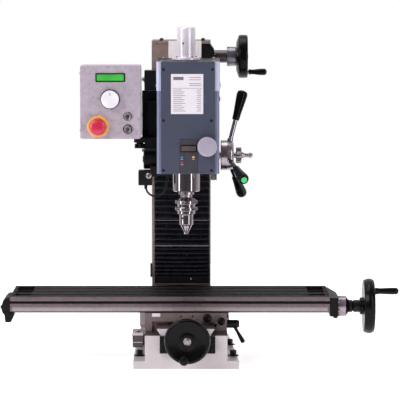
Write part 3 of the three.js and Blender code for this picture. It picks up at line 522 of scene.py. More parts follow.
def brick(name: str, lo: Vec3, hi: Vec3, ease: float = 0.5) -> bpy.types.Object:
    """A box between two corners with rounded edges."""
    outline = [(lo[0], lo[1]), (hi[0], lo[1]), (hi[0], hi[1]), (lo[0], hi[1])]
    return slab(name, outline, Toward.UP.at(0, 0, lo[2]), hi[2] - lo[2], ease)


def tube(name: str, points: list[Vec3], radius: float, resolution: int = 8) -> bpy.types.Object:
    """A round tube along a smooth curve through points in millimetres."""
    curve = bpy.data.curves.new(name, "CURVE")
    curve.dimensions = "3D"
    curve.bevel_depth = radius * MM
    curve.bevel_resolution = 5
    curve.resolution_u = resolution
    curve.use_fill_caps = True
    spline = curve.splines.new("NURBS")
    spline.points.add(len(points) - 1)
    for point, at in zip(spline.points, points):
        point.co = (*[c * MM for c in at], 1)
    spline.order_u = 4
    spline.use_endpoint_u = True
    holder = bpy.data.objects.new(name, curve)
    bpy.context.collection.objects.link(holder)
    mesh = bpy.data.meshes.new_from_object(holder.evaluated_get(bpy.context.evaluated_depsgraph_get()))
    bpy.data.objects.remove(holder)
    mesh.shade_smooth()
    made = bpy.data.objects.new(name, mesh)
    bpy.context.collection.objects.link(made)
    return made


def merged(name: str, parts: list[bpy.types.Object]) -> bpy.types.Object:
    """Joins objects that keep their own materials."""
    for part in parts:
        part.data.name = name
    with bpy.context.temp_override(active_object=parts[0], selected_editable_objects=parts,
                                   selected_objects=parts):
        bpy.ops.object.join()
    parts[0].name = name
    return parts[0]


def refined(node: str, width: float = 0.8, segments: int = 2) -> bpy.types.Object:
    """A copy of a CAD node with its flat faces whole and its edges rounded."""
    bm = bmesh.new()
    bm.from_mesh(NODES[node].data)
    bmesh.ops.remove_doubles(bm, verts=bm.verts, dist=1e-6)
    bmesh.ops.dissolve_limit(bm, angle_limit=math.radians(1.5), verts=bm.verts, edges=bm.edges)
    bm.transform(Matrix.Scale(1 / MM, 4))
    return bevelled(to_object(f"{node}_shell", bm), width, segments)


def coat(made: bpy.types.Object, finish: Finish) -> bpy.types.Object:
    """Gives an object one finish."""
    made.data.materials.clear()
    made.data.materials.append(finish.material())
    return made


def fit(made: bpy.types.Object, body: str, finish: Finish | None = None,
        stands_for: tuple[str, ...] = ()) -> bpy.types.Object:
    """Dresses a piece, puts it on its body and reports it.

    Args:
        made: the piece.
        body: the body that it moves with.
        finish: its finish, or None where its parts have their own.
        stands_for: the CAD nodes that it replaces.

    Returns:
        The same piece.
    """
    if finish:
        coat(made, finish)
    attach(made, body)
    if stands_for:
        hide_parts(*stands_for)
    LOG.info("%s on %s, %d faces", made.name, body, len(made.data.polygons))
    return made


def shell(node: str, body: str, finish: Finish, width: float = 0.8, segments: int = 2) -> None:
    """Fits a copy of a CAD node, with its edges rounded, in place of the node.

    Args:
        node: the CAD node.
        body: the body that it moves with.
        finish: its finish.
        width: how far its edges are rounded, in millimetres.
        segments: faces across each rounded edge.
    """
    fit(refined(node, width, segments), body, finish, (node,))


# ---------------------------------------------------------------- patterns that repeat


class Pattern(Enum):
    """How a geometry tree spreads copies of an item."""

    RING = "ring"
    ROW = "row"
    SPOTS = "spots"


class Repeater:
    """Geometry node trees that copy one item round a ring, along a row or to marked spots."""

    def __init__(self) -> None:
        """Builds the three trees."""
        self.trees = {kind: self._tree(kind) for kind in Pattern}

    def _tree(self, kind: Pattern) -> bpy.types.NodeTree:
        """One tree with its named inputs.

        Args:
            kind: the way that the copies are spread.

        Returns:
            The tree, which ends in plain mesh with its material set.
        """
        tree = bpy.data.node_groups.new(f"repeat_{kind.value}", "GeometryNodeTree")
        face = tree.interface
        face.new_socket("Geometry", in_out="INPUT", socket_type="NodeSocketGeometry")
        face.new_socket("Item", in_out="INPUT", socket_type="NodeSocketObject")
        face.new_socket("Count", in_out="INPUT", socket_type="NodeSocketInt")
        face.new_socket("Radius", in_out="INPUT", socket_type="NodeSocketFloat")
        face.new_socket("Step", in_out="INPUT", socket_type="NodeSocketVector")
        face.new_socket("Finish", in_out="INPUT", socket_type="NodeSocketMaterial")
        face.new_socket("Geometry", in_out="OUTPUT", socket_type="NodeSocketGeometry")
        new, link = tree.nodes.new, tree.links.new
        given, out = new("NodeGroupInput"), new("NodeGroupOutput")
        item, copy = new("GeometryNodeObjectInfo"), new("GeometryNodeInstanceOnPoints")
        item.inputs["As Instance"].default_value = True
        link(given.outputs["Item"], item.inputs["Object"])
        link(item.outputs["Geometry"], copy.inputs["Instance"])
        if kind is Pattern.RING:
            points = new("GeometryNodeMeshCircle")
            link(given.outputs["Count"], points.inputs["Vertices"])
            link(given.outputs["Radius"], points.inputs["Radius"])
            link(points.outputs["Mesh"], copy.inputs["Points"])
            self._aim(tree, copy, "X", new("GeometryNodeInputPosition").outputs[0])
        elif kind is Pattern.ROW:
            points = new("GeometryNodeMeshLine")
            link(given.outputs["Count"], points.inputs["Count"])
            link(given.outputs["Step"], points.inputs["Offset"])
            link(points.outputs["Mesh"], copy.inputs["Points"])
        else:
            link(given.outputs["Geometry"], copy.inputs["Points"])
            aim = new("GeometryNodeInputNamedAttribute")
            aim.data_type = "FLOAT_VECTOR"
            aim.inputs["Name"].default_value = "aim"
            self._aim(tree, copy, "Z", aim.outputs["Attribute"])
        real, dress = new("GeometryNodeRealizeInstances"), new("GeometryNodeSetMaterial")
        link(copy.outputs["Instances"], real.inputs["Geometry"])
        link(real.outputs["Geometry"], dress.inputs["Geometry"])
        link(given.outputs["Finish"], dress.inputs["Material"])
        link(dress.outputs["Geometry"], out.inputs["Geometry"])
        return tree

    @staticmethod
    def _aim(tree: bpy.types.NodeTree, copy: bpy.types.Node, axis: str, vector: bpy.types.NodeSocket) -> None:
        """Turns each copy so that one of its axes follows a vector."""
        turn = tree.nodes.new("FunctionNodeAlignRotationToVector")
        turn.axis = axis
        turn.pivot_axis = "Z" if axis == "X" else "AUTO"
        tree.links.new(vector, turn.inputs["Vector"])
        tree.links.new(turn.outputs["Rotation"], copy.inputs["Rotation"])

    def spread(self, name: str, kind: Pattern, item: bpy.types.Object, finish: Finish,
               place: Matrix = Matrix(),
               spots: list[tuple[Vec3, Vec3]] | None = None, **values: object) -> bpy.types.Object:
        """Copies an item, which is then removed.

        Args:
            name: the new piece's name.
            kind: the pattern.
            item: the object to copy, made about the origin in its own size.
            finish: the finish of every copy.
            place: where the pattern goes, in millimetres.
            spots: for spots, each point in millimetres and the way that the item's z looks.
            values: Count, Radius or Step, in metres.

        Returns:
            The piece as plain mesh.
        """
        host_mesh = bpy.data.meshes.new(name)
        if spots:
            host_mesh.from_pydata([[c * MM for c in at] for at, _ in spots], [], [])
            aim = host_mesh.attributes.new("aim", "FLOAT_VECTOR", "POINT")
            for entry, (_, way) in zip(aim.data, spots):
                entry.vector = way
        host = bpy.data.objects.new(name, host_mesh)
        bpy.context.collection.objects.link(host)
        modifier = host.modifiers.new("repeat", "NODES")
        modifier.node_group = self.trees[kind]
        sockets = {s.name: s.identifier for s in self.trees[kind].interface.items_tree if s.in_out == "INPUT"}
        for key, value in {"Item": item, "Finish": finish.material(), **values}.items():
            modifier[sockets[key]] = value
        baked(host)
        bpy.data.objects.remove(item)
        move = Matrix.Scale(MM, 4) @ place @ Matrix.Scale(1 / MM, 4)
        host.data.transform(move)
        return host


    def screws(self, name: str, body: str, item: bpy.types.Object, finish: Finish,
               spots: list[tuple[Vec3, Vec3]]) -> None:
        """Sets a copy of a screw's head at each spot and fits them to a body.

        Args:
            name: the new piece's name.
            body: the body that the screws move with.
            item: the head, standing on the origin.
            finish: its finish.
            spots: each point in millimetres and the way that the head looks.
        """
        fit(self.spread(name, Pattern.SPOTS, item, finish, spots=spots), body)


def two_tone(made: bpy.types.Object, first: Finish, second: Finish,
             is_second: Callable[[Vector, Vector], bool]) -> bpy.types.Object:
    """Gives an object two finishes.

    Args:
        made: the object.
        first: the finish of most faces.
        second: the finish of the faces that pass the test.
        is_second: a test of a face's centre, in millimetres, and its normal.

    Returns:
        The same object.
    """
    made.data.materials.clear()
    made.data.materials.append(first.material())
    made.data.materials.append(second.material())
    for face in made.data.polygons:
        face.material_index = int(bool(is_second(face.center / MM, face.normal)))
    return made


def cut_by(made: bpy.types.Object, cutters: list[bpy.types.Object]) -> bpy.types.Object:
    """Cuts an object by others, which are then removed."""
    for cutter in cutters:
        modifier = made.modifiers.new("cut", "BOOLEAN")
        modifier.operation = "DIFFERENCE"
        modifier.solver = "EXACT"
        modifier.object = cutter
    baked(made)
    for cutter in cutters:
        bpy.data.objects.remove(cutter)
    return made


def dress_node(node: str, finish: Finish) -> None:
    """Gives a CAD node that stays a better material."""
    for holder in NODES[node].material_slots:
        holder.material = finish.material()
    LOG.info("%s keeps its own shape in %s", node, finish.name)


# ---------------------------------------------------------------- small hardware


def cap_screw(r: float, height: float) -> bpy.types.Object:
    """A socket cap screw's head, standing on the origin."""
    profile = [(0, 0), (r, 0), (r, height * 0.82), (r * 0.86, height), (r * 0.58, height),
               (r * 0.5, height * 0.4),
               (0, height * 0.4)]
    return turned("screw_item", profile, Matrix(), 18)


def pan_screw(r: float, height: float) -> bpy.types.Object:
    """A domed screw head with a round recess, standing on the origin."""
    profile = [(0, 0), (r, 0), (r * 0.96, height * 0.45), (r * 0.7, height * 0.9), (r * 0.4, height),
               (r * 0.3, height * 0.5),
               (0, height * 0.5)]
    return turned("screw_item", profile, Matrix(), 18)


def hex_bolt(across: float, height: float) -> bpy.types.Object:
    """A hexagon bolt head on its washer, standing on the origin."""
    washer = turned("bolt_item", [(0, 0), (across * 0.95, 0), (across * 0.95, 1.6), (0, 1.6)], Matrix(), 24)
    head = slab("bolt_head", circle(across * 0.577, 6), Toward.UP.at(0, 0, 1.6), height - 1.6, 0.5)
    return merged("bolt_item", [washer, head])


# ---------------------------------------------------------------- base, column and way cover


@dataclass
class BaseUnit:
    """White base casting with its front bracket, oil tank and hold-down bolts."""

    repeat: Repeater
    bolt_across: float = 16.0
    bolt_height: float = 13.0
    bracket_screws: tuple[Vec3, ...] = ((-53.7, -103.0, 56.6), (57.3, -103.0, 56.6), (-53.7, -103.0, 44.0),
                                        (57.3, -103.0, 44.0))
    hold_downs: tuple[tuple[float, float], ...] = ((-103, -14), (103, -14), (-103, 140), (97, 140))
    foot_bolts: tuple[tuple[float, float], ...] = ((-97, 190), (-97, 285), (73, 190), (73, 285))

    def build(self) -> None:
        """Makes and dresses every piece of the base."""
        base = refined("base_casting", 1.6, 3)
        two_tone(base, WHITE_PAINT, MILLED_IRON, lambda at, way: at.z > 72.8 and at.y < 165 and way.z > -0.9)
        fit(base, "root", None, ("base_casting",))
        shell("y_screw_bracket", "root", BLACK_CAST, 1.2, 3)
        spots = [(at, (0, -1, 0)) for at in self.bracket_screws]
        self.repeat.screws("bracket_screws", "root", cap_screw(3.6, 3.2), BLACK_SATIN, spots)
        self.hold_down_bolts()
        self.tank()
        dress_node("y_screw", STEEL)

    def hold_down_bolts(self) -> None:
        """Bolts that hold the base to the bench and the column to the base."""
        low = [((x, y, 17.0), (0, 0, 1)) for x, y in self.hold_downs]
        high = [((x, y, Box.of("column_casting").lo.z + 38.7), (0, 0, 1)) for x, y in self.foot_bolts]
        bolts = self.repeat.spread("base_bolts", Pattern.SPOTS,
                                   hex_bolt(self.bolt_across * 0.8, self.bolt_height),
                                   BLACK_SATIN, spots=low)
        fit(bolts, "root")
        bolts = self.repeat.spread("column_bolts", Pattern.SPOTS, cap_screw(9, 10), BLACK_SATIN, spots=high)
        fit(bolts, "root")

    def tank(self) -> None:
        """The oil tank with its level line and filler plug, its top faces painted white as a painted
        reflection.
        """
        box = Box.of("oil_reservoir")
        tank = refined("oil_reservoir", 1.2, 3)
        # Painted reflection: the grey tank's top faces take white paint for the glare that grazing light
        # gives them.
        two_tone(tank, GREY_TANK, WHITE_PAINT, lambda at, way: at.z > 60.5)
        fit(tank, "root", None, ("oil_reservoir",))
        at = (box.lo.x + 12, box.lo.y + 14, box.hi.z - 0.2)
        plug = turned("tank_plug", eased([(0, 0), (6, 0), (6, 1.6), (3.2, 1.8), (3.2, 3.4), (0, 3.6)], 0.5),
                      Toward.UP.at(*at), 32)
        fit(plug, "root", STEEL)
        line = brick("tank_level_line", (box.lo.x + 1.6, box.lo.y + 0.2, 45),
                     (box.hi.x - 6, box.lo.y + 1.2, 46.2), 0.2)
        fit(line, "root", LABEL_WHITE)


@dataclass
class ColumnUnit:
    """Column with ground ways, the crank housing, the top plate and the pleated way cover."""

    repeat: Repeater
    cover_low: float = 171.0
    cover_folds: int = 21
    cover_front: float = 157.0
    cover_back: float = 169.0
    travel: float = 130.0
    ways_x: tuple[float, float] = (-80.7, 56.0)

    def build(self) -> None:
        """Makes and dresses every piece of the column."""
        column = refined("column_casting", 1.0, 2)
        left, right = self.ways_x
        two_tone(column, WHITE_PAINT, GROUND_WAY, lambda at, way: at.z > 93 and left < at.x < right
                 and (at.y < 184.5 or at.y < 192 and abs(way.x) < 0.99))
        fit(column, "root", None, ("column_casting",))
        plate = two_tone(refined("column_top_plate", 1.0, 3), GROUND_WAY, CAST_IRON,
                         lambda at, way: way.z > 0.3)
        fit(plate, "root", None, ("column_top_plate",))
        shell("z_drive_housing", "root", BLACK_CAST, 1.6, 3)
        box = Box.of("column_top_plate")
        spots = [((x, y, box.hi.z), (0, 0, 1)) for x in (-58, 37) for y in (box.lo.y + 12, box.hi.y - 12)]
        self.repeat.screws("top_plate_screws", "root", cap_screw(4.2, 3.4), BLACK_SATIN, spots)
        house = Box.of("z_drive_housing")
        spots = [((62, y, z), (1, 0, 0)) for y in (house.lo.y + 12, house.hi.y - 8)
                 for z in (house.lo.z + 9, house.hi.z - 20)]
        self.repeat.screws("housing_screws", "root", cap_screw(3.6, 3), STEEL, spots)
        neck = turned("crank_neck", eased([(8.6, 63), (14.3, 63), (14.3, 90.8), (8.6, 90.8)], 0.5),
                      Toward.RIGHT.at(0, 236, 665), 72, loop=True)
        fit(neck, "root", NECK_STEEL)
        dress_node("z_screw", STEEL)
        # The nut slot cover's near-white colour is a painted reflection of the polished column face.
        cover = brick("nut_slot_cover", (-41, 176.4, 640), (33, 179.9, 702.2), 0.4)
        fit(cover, "root", SLOT_COVER_SHEEN)
        self.way_cover()
        self.cover_clamp()
        stop = brick("travel_stop", (-83, 176.5, 166), (-79.2, 188, 197), 0.8)
        fit(stop, "root", BLACK_SATIN)

    def way_cover(self) -> None:
        """The pleated cover on the front of the column."""
        box = Box.of("bellows")
        low, high = self.cover_low, box.hi.z
        heights = [0.0]
        for fold in range(self.cover_folds):
            heights.append(heights[-1] + 1.0 + 0.9 * fold / self.cover_folds)
        scale = (high - low) / heights[-1]
        path = []
        for fold, (start, end) in enumerate(zip(heights, heights[1:])):
            wander = 0.7 * math.sin(fold * 2.4)
            path.append((self.cover_back, low + start * scale))
            path.append((self.cover_front + wander, low + (start + (end - start) * 0.56) * scale))
        path.append((self.cover_back, high))
        path = eased(path, 1.9, 4)
        columns = 24
        bm = bmesh.new()
        rows = []
        for depth, height in path:
            row = []
            for i in range(columns + 1):
                across = i / columns
                edge = min(across, 1 - across) * columns
                tuck = 1.6 * max(0.0, 1 - edge)
                sag = 0.9 * math.sin(math.pi * across) * (self.cover_back - depth) / 12
                ripple = 0.25 * math.sin(across * 31 + height * 0.7)
                x = box.lo.x + (box.hi.x - box.lo.x) * across
                row.append(bm.verts.new((x, depth + tuck * 0.4 + ripple, height - sag)))
            rows.append(row)
        for a, b in zip(rows, rows[1:]):
            for i in range(columns):
                bm.faces.new([a[i], a[i + 1], b[i + 1], b[i]])
        cover = to_object("way_cover", bm)
        shell = cover.modifiers.new("thickness", "SOLIDIFY")
        shell.thickness = 1.1 * MM
        shell.offset = 0
        coat(baked(cover, 60), RUBBER)
        rods = [coat(brick("stiffener", (box.lo.x + 1, 156.2, z), (box.hi.x - 1, 157.6, z + 1.7), 0.3),
                     CHROME) for z in (239.4, 297.6)]
        cover = fit(merged("way_cover", [cover, *rods]), "root", None, ("bellows",))
        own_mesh(cover)

    def cover_clamp(self) -> None:
        """The plate and strip that hold the foot of the way cover."""
        box = Box.of("bellows")
        plate = brick("cover_clamp", (box.lo.x, 154.5, 157.4), (box.hi.x, 157.5, self.cover_low), 0.5)
        backing = brick("cover_backing", (box.lo.x, 157.5, 155.2), (box.hi.x, 175.5, self.cover_low), 0.5)
        fit(merged("cover_clamp", [plate, backing]), "root", BLACK_SATIN)
        fit(brick("cover_strip", (box.lo.x, 154.8, 151), (box.hi.x, 170, 155), 0.4), "root", MILLED_IRON)
        spots = [((10.4, 154.5, 165), (0, -1, 0))]
        self.repeat.screws("clamp_screws", "root", pan_screw(2.0, 1.2), CHROME, spots)


# ---------------------------------------------------------------- saddle and table


@dataclass
class SaddleUnit:
    """Saddle with its two lock knobs, clamp lever, gib screws and oil cover."""

    repeat: Repeater
    body: str = "saddle_body"
    gib_spots: tuple[float, ...] = (12.0, 42.0, 72.0, 102.0)

    def build(self) -> None:
        """Makes and dresses every piece of the saddle."""
        shell("saddle", self.body, CAST_IRON, 1.0, 2)
        front = Box.of("saddle").lo.y
        spots = [((x, front, 106.6), (0, -1, 0)) for x in (-12.7, 13.4)]
        self.repeat.screws("saddle_screws", self.body, cap_screw(2.6, 1.6), STEEL, spots)
        right = Box.of("saddle").hi.x
        spots = [((right, y, 96), (1, 0, 0)) for y in self.gib_spots]
        self.repeat.screws("gib_screws", self.body, hex_bolt(7, 5), STEEL, spots)
        fit(brick("saddle_label", (-75, front - 0.35, 105.6), (-57, front + 0.2, 113.2), 0.1), self.body,
            LABEL_WHITE)
        fit(brick("way_oil_cover", (-40, front - 2, 85.6), (-27.6, front + 6, 92.2), 0.6), self.body,
            BLACK_SATIN)
        dress_node("x_nut", BRONZE)
        dress_node("y_nut", BRONZE)
        self.lock("table_lock_knob", "table_lock")
        self.lock("saddle_lock_knob", "saddle_lock")
        self.clamp_lever()

    def lock(self, node: str, body: str) -> None:
        """A turned lock knob on its stud.

        Args:
            node: the CAD knob.
            body: the body that it turns with.
        """
        box = Box.of(node)
        r, reach = (box.hi.x - box.lo.x) / 2, -box.lo.y
        face = reach - 26.5
        place = Toward.FRONT.at(box.mid.x, 0, box.mid.z)
        stud = turned(f"{node}_stud", [(0, face - 12), (4.6, face - 12), (4.6, face + 8), (0, face + 8)],
                      place, 28)
        coat(stud, STEEL)
        profile = [(0, face + 7.6), (r * 0.62, face + 7.6), (r * 0.7, face + 10), (r * 0.98, face + 15),
                   (r, face + 20),
                   (r * 0.8, face + 24.6), (r * 0.4, face + 26.2), (0, face + 26.5)]
        head = coat(turned(f"{node}_head", eased(profile, 1.6), place, 56), BLACK_PLASTIC)
        fit(merged(f"{node}_turned", [head, stud]), body, None, (node,))

    def clamp_lever(self) -> None:
        """The ratchet clamp lever on the right flank."""
        right = Box.of("saddle").hi.x
        place = Toward.RIGHT.at(right, 10, 84)
        hub_profile = eased([(0, 0.4), (9, 0.4), (9, 22), (7.4, 27.4), (3.4, 28), (3, 25), (0, 25)], 1.2)
        hub = coat(turned("clamp_hub", hub_profile, place, 56), BLACK_SATIN)
        stud = coat(turned("clamp_stud", [(0, -12), (4.6, -12), (4.6, 2), (0, 2)], place, 24), STEEL)
        start, end = Vector((right + 15, 10, 82)), Vector((126, -2, 44))
        way = (end - start).normalized()
        aim = Matrix.Translation(start) @ way.to_track_quat("Z", "Y").to_matrix().to_4x4()
        length = (end - start).length
        arm_profile = eased([(0, 0), (4, 0), (3.4, length * 0.4), (4.8, length * 0.82), (4.8, length - 2),
                             (2.4, length),
                             (0, length)], 1.0)
        arm = coat(turned("clamp_arm", arm_profile, aim, 32), BLACK_SATIN)
        fit(merged("clamp_lever", [hub, stud, arm]), "clamp_lever", None, ("saddle_clamp_lever",))


@dataclass
class TableUnit:
    """Milled table with T-slots, its rule along the front and both end brackets."""

    repeat: Repeater
    body: str = "table_body"
    rule_low: float = 118.4
    rule_high: float = 127.6
    rule_from: float = -381.0
    rule_marks: int = 688

    def build(self) -> None:
        """Makes and dresses every piece of the table."""
        top = Box.of("table").hi.z
        table = refined("table", 0.6, 2)
        two_tone(table, MILLED_IRON, TABLE_TOP, lambda at, way: way.z > 0.9 and at.z > top - 1
                 or top - 17 < at.z < top - 0.9 and at.y > -28 and abs(way.x) < 0.9)
        fit(table, self.body, None, ("table",))
        self.rule()
        shell("right_end_bracket", self.body, BLACK_CAST, 1.8, 3)
        left, right = Box.of("left_end_bracket"), Box.of("right_end_bracket")
        inner = left.hi.x
        side = [(inner, 148), (-394, 148), (-400.6, 141), (-406, 126), (-402, 113), (-398.4, 110.5),
                (-396.6, 93), (-384, 93),
                (-377, 111), (-377, 113.4), (inner, 113.4)]
        bracket = slab("left_bracket", side[::-1], Toward.FRONT.at(0, 58, 0), 88, 2.0)
        fit(bracket, self.body, BLACK_CAST, ("left_end_bracket",))
        spots = [((-404.6, y, 126), (-1, 0, 0)) for y in (-18, 50)]
        spots += [((right.hi.x, y, z), (1, 0, 0)) for y in (-18, 63) for z in (118, 138)]
        self.repeat.screws("bracket_bolts", self.body, cap_screw(4.2, 3), CHROME, spots)
        bearing = turned("left_bearing_cap", eased([(0, -1), (15, -1), (15, 2.4), (11, 4), (11, 5.6),
                                                    (0, 5.6)], 0.8),
                         Toward.LEFT.at(left.lo.x + 9, 30, 121), 56)
        fit(bearing, self.body, BLACK_SATIN)
        dress_node("x_screw", STEEL)

    def rule(self) -> None:
        """The rule on the front of the table with a mark every millimetre."""
        front = Box.of("table").lo.y
        low, high = self.rule_low, self.rule_high
        plate = brick("table_rule", (self.rule_from, front - 0.5, low),
                      (self.rule_from + self.rule_marks + 2, front + 0.2, high), 0.12)
        fit(plate, self.body, RULE_METAL)
        for step, height, name in ((1, 2.4, "single"), (5, 3.8, "five"), (10, 5.6, "ten")):
            mark = brick(f"{name}_mark", (-0.16 - step * 0.01, -0.06, -height), (0.16 + step * 0.01, 0.06, 0),
                         0)
            place = Matrix.Translation((self.rule_from + 1, front - 0.5, high - 0.3))
            marks = self.repeat.spread(f"rule_{name}_marks", Pattern.ROW, mark, INK, place,
                                       Count=self.rule_marks // step + 1, Step=(step * MM, 0, 0))
            fit(marks, self.body)


# ---------------------------------------------------------------- handwheels


@dataclass
class Crank:
    """A dished handwheel with a graduated dial and a turned grip, along +X."""

    repeat: Repeater
    axis: str
    centre: tuple[float, float]
    dial_from: float
    dial_to: float
    wheel_at: float
    radius: float
    depth: float
    hub_r: float
    hub_length: float
    grip_at: tuple[float, float]
    grip_from: float
    grip_length: float
    grip_r: tuple[float, float]
    dial_finish: Finish
    dial_r: float = 22.5
    marks: int = 80
    clutch: bool = False

    @property
    def place(self) -> Matrix:
        """The axis of the crank."""
        return Toward.RIGHT.at(0, *self.centre)

    def build(self) -> None:
        """Makes and dresses the dial, wheel and grip."""
        body = f"{self.axis}_wheel"
        self.dial(body)
        self.wheel(body)
        self.grip()

    def dial(self, body: str) -> None:
        """The graduated dial."""
        r, a, b = self.dial_r, self.dial_from, self.dial_to
        if self.clutch:
            profile = [(7, a), (r - 0.6, a), (r, a + 0.6), (r, b - 8.4), (r - 0.4, b - 8), (15.2, b - 3),
                       (13.5, b), (7, b)]
        else:
            profile = [(7, a), (r - 0.8, a), (r, a + 0.8), (r, b - 2), (r - 1.4, b), (7, b)]
        dial = turned(f"{self.axis}_dial_turned", profile, self.place, 96, loop=True)
        finish = replace(self.dial_finish, name=f"{self.axis}_{self.dial_finish.name}",
                         centre=(0.0, *self.centre), along=0)
        if self.clutch:
            two_tone(dial, finish, BLACK_SATIN, lambda at, way: at.x > b - 8.2 or at.x < a + 1.2)
            finish = None
        fit(dial, body, finish, (f"{self.axis}_dial",))
        for every, length in ((1, 3.4), (5, 5.2), (10, 7.0)):
            mark = brick("dial_mark", (-0.05, -0.16, 0), (0.09, 0.16, length), 0)
            place = self.place @ Matrix.Translation((0, 0, a + 1.4))
            marks = self.repeat.spread(f"{self.axis}_dial_marks_{every}", Pattern.RING, mark, INK, place,
                                       Count=self.marks // every, Radius=r * MM)
            fit(marks, body)

    def wheel(self, body: str) -> None:
        """The dished wheel with its nut and, on the table crank, its clutch sleeve."""
        r, d, h, at = self.radius, self.depth, self.hub_length, self.wheel_at
        inner = self.hub_r * 0.7
        if self.clutch:
            profile = [(7, 0), (self.hub_r, 0), (self.hub_r, h - 0.4), (r - 14, h), (r - 4, h - 3 + d * 0.12),
                       (r, h + d * 0.42), (r - 0.4, h + d * 0.72), (r - 4, h + d - 0.8), (r - 8, h + d),
                       (r - 12, h + d - 2.4), (r - 18, h + 9), (inner * 1.5, h + 7), (inner, h + d * 0.5),
                       (inner, h + d * 0.6), (7, h + d * 0.6)]
        else:
            profile = [(7, 0.2), (32, 0.2), (35, 1.4), (r - 4, 4.6), (r - 0.6, 6.4), (r, 9), (r, h + d - 3),
                       (r - 2.4, h + d), (r - 8, h + d),
                       (r - 12, h + d - 3), (r - 18, h + 9), (inner * 1.5, h + 7), (inner, h + d * 0.6),
                       (7, h + d * 0.6)]
        place = self.place @ Matrix.Translation((0, 0, at))
        wheel = coat(turned(f"{self.axis}_wheel_disc", eased(profile, 2.4), place, 112, loop=True),
                     BLACK_PLASTIC)
        y, z = self.grip_at
        boss_place = place @ Matrix.Translation((y, z, 0))
        boss = turned("grip_boss", eased([(0, h + 2), (9, h + 2), (9, h + d - 1), (6, h + d + 0.6),
                                          (0, h + d + 0.6)], 1.0),
                      boss_place, 48)
        parts = [wheel, coat(boss, BLACK_PLASTIC)]
        nut = turned("wheel_nut", eased([(0, h + d * 0.5), (9, h + d * 0.5), (9, h + d * 0.66),
                                         (6.4, h + d * 0.72),
                                         (6.4, h + d * 0.98), (4, h + d * 1.08), (0, h + d * 1.08)], 0.6),
                     place, 48)
        parts.append(coat(nut, CHROME))
        if self.clutch:
            profile = [(7, 360.4), (13.5, 360.4), (13.5, 365.6), (10.6, 368), (13.5, 370.4), (13.5, 384),
                       (7, 384)]
            parts.append(coat(turned("clutch_sleeve", eased(profile, 0.7), self.place, 72, loop=True),
                              BLACK_SATIN))
        fit(merged(f"{self.axis}_wheel_turned", parts), body, None, (f"{self.axis}_handwheel",))

    def grip(self) -> None:
        """The turned grip with its chrome screw end."""
        a, length = self.grip_from, self.grip_length
        r0, r1 = self.grip_r
        y, z = self.grip_at
        place = self.place @ Matrix.Translation((y, z, 0))
        profile = [(r0, a + 0.6), (r0 * 0.98, a + 3), (r0 * 0.84, a + length * 0.2),
                   (r1 * 0.98, a + length * 0.62),
                   (r1, a + length * 0.82), (r1 * 0.92, a + length - 3), (r1 * 0.6, a + length - 1.2),
                   (0, a + length - 1.2)]
        grip = coat(turned("grip_body", [(0, a + 0.6), *eased(profile, 2.0)], place, 56), BLACK_PLASTIC)
        pin = [(0, a - 20), (3.9, a - 20), (3.9, a + 2), (0, a + 2)]
        screw = [(0, a + length - 3), (r1 * 0.55, a + length - 3), (r1 * 0.55, a + length - 0.8),
                 (r1 * 0.4, a + length),
                 (0, a + length)]
        parts = [grip, coat(turned("grip_pin", pin, place, 28), STEEL),
                 coat(turned("grip_screw", screw, place, 32), CHROME)]
        fit(merged(f"{self.axis}_grip_turned", parts), f"{self.axis}_grip_body", None, (f"{self.axis}_grip",))


@dataclass
class FrontWheel:
    """The disc handwheel at the front with its dial, nut and round knob."""

    repeat: Repeater
    centre: tuple[float, float] = (3.0, 74.0)
    grip_at: tuple[float, float] = (-7.0, -38.0)
    dial_r: float = 22.0
    marks: int = 80

    def build(self) -> None:
        """Makes and dresses every piece of the wheel."""
        x, z = self.centre
        place = Toward.FRONT.at(x, 0, z)
        r = self.dial_r
        dial = turned("y_dial_turned", [(7, 108), (r - 0.8, 108), (r, 108.8), (r, 134), (r - 1.6, 136),
                                        (7, 136)], place, 96, loop=True)
        fit(dial, "y_wheel", replace(DIAL_GREY, name="y_dial_grey", centre=(x, 0.0, z), along=1), ("y_dial",))
        for every, length in ((1, 4.0), (5, 6.0), (10, 8.0)):
            mark = brick("dial_mark", (-0.05, -0.16, 0), (0.09, 0.16, length), 0)
            marks = self.repeat.spread(f"y_dial_marks_{every}", Pattern.RING, mark, INK,
                                       place @ Matrix.Translation((0, 0, 109.6)), Count=self.marks // every,
                                       Radius=r * MM)
            fit(marks, "y_wheel")
        profile = [(7, 136.4), (16, 136.4), (16, 158), (24, 163), (34, 165.4), (44, 166), (48.6, 169),
                   (49.5, 174), (49, 180),
                   (46.5, 184), (43, 185), (39, 183.6), (30, 180.4), (20, 179), (14, 180), (7, 180)]
        wheel = coat(turned("y_wheel_disc", eased(profile, 2.2), place, 120, loop=True), BLACK_PLASTIC)
        nut = turned("y_wheel_nut", eased([(0, 176), (8.4, 176), (8.4, 181.4), (6.4, 182), (6.4, 186.4),
                                           (4.6, 188), (0, 188)], 0.7),
                     place, 56)
        boss_place = place @ Matrix.Translation((*self.grip_at, 0))
        boss = turned("y_grip_boss", eased([(0, 168), (9, 168), (9, 184), (7, 186.2), (0, 186.2)], 1.0),
                      boss_place, 48)
        fit(merged("y_wheel_turned", [wheel, coat(nut, STEEL), coat(boss, BLACK_PLASTIC)]), "y_wheel", None,
            ("y_handwheel",))
        profile = [(0, 187), (6, 187), (5.6, 190), (6.6, 195), (9.4, 201), (10, 206), (8.6, 209.4),
                   (5, 210.8), (0, 211)]
        knob = coat(turned("y_knob", eased(profile, 2.0), boss_place, 64), BLACK_PLASTIC)
        pin = coat(turned("y_knob_pin", [(0, 167), (3.9, 167), (3.9, 188), (0, 188)], boss_place, 28), STEEL)
        fit(merged("y_grip_turned", [knob, pin]), "y_grip_body", None, ("y_grip",))


# ---------------------------------------------------------------- head


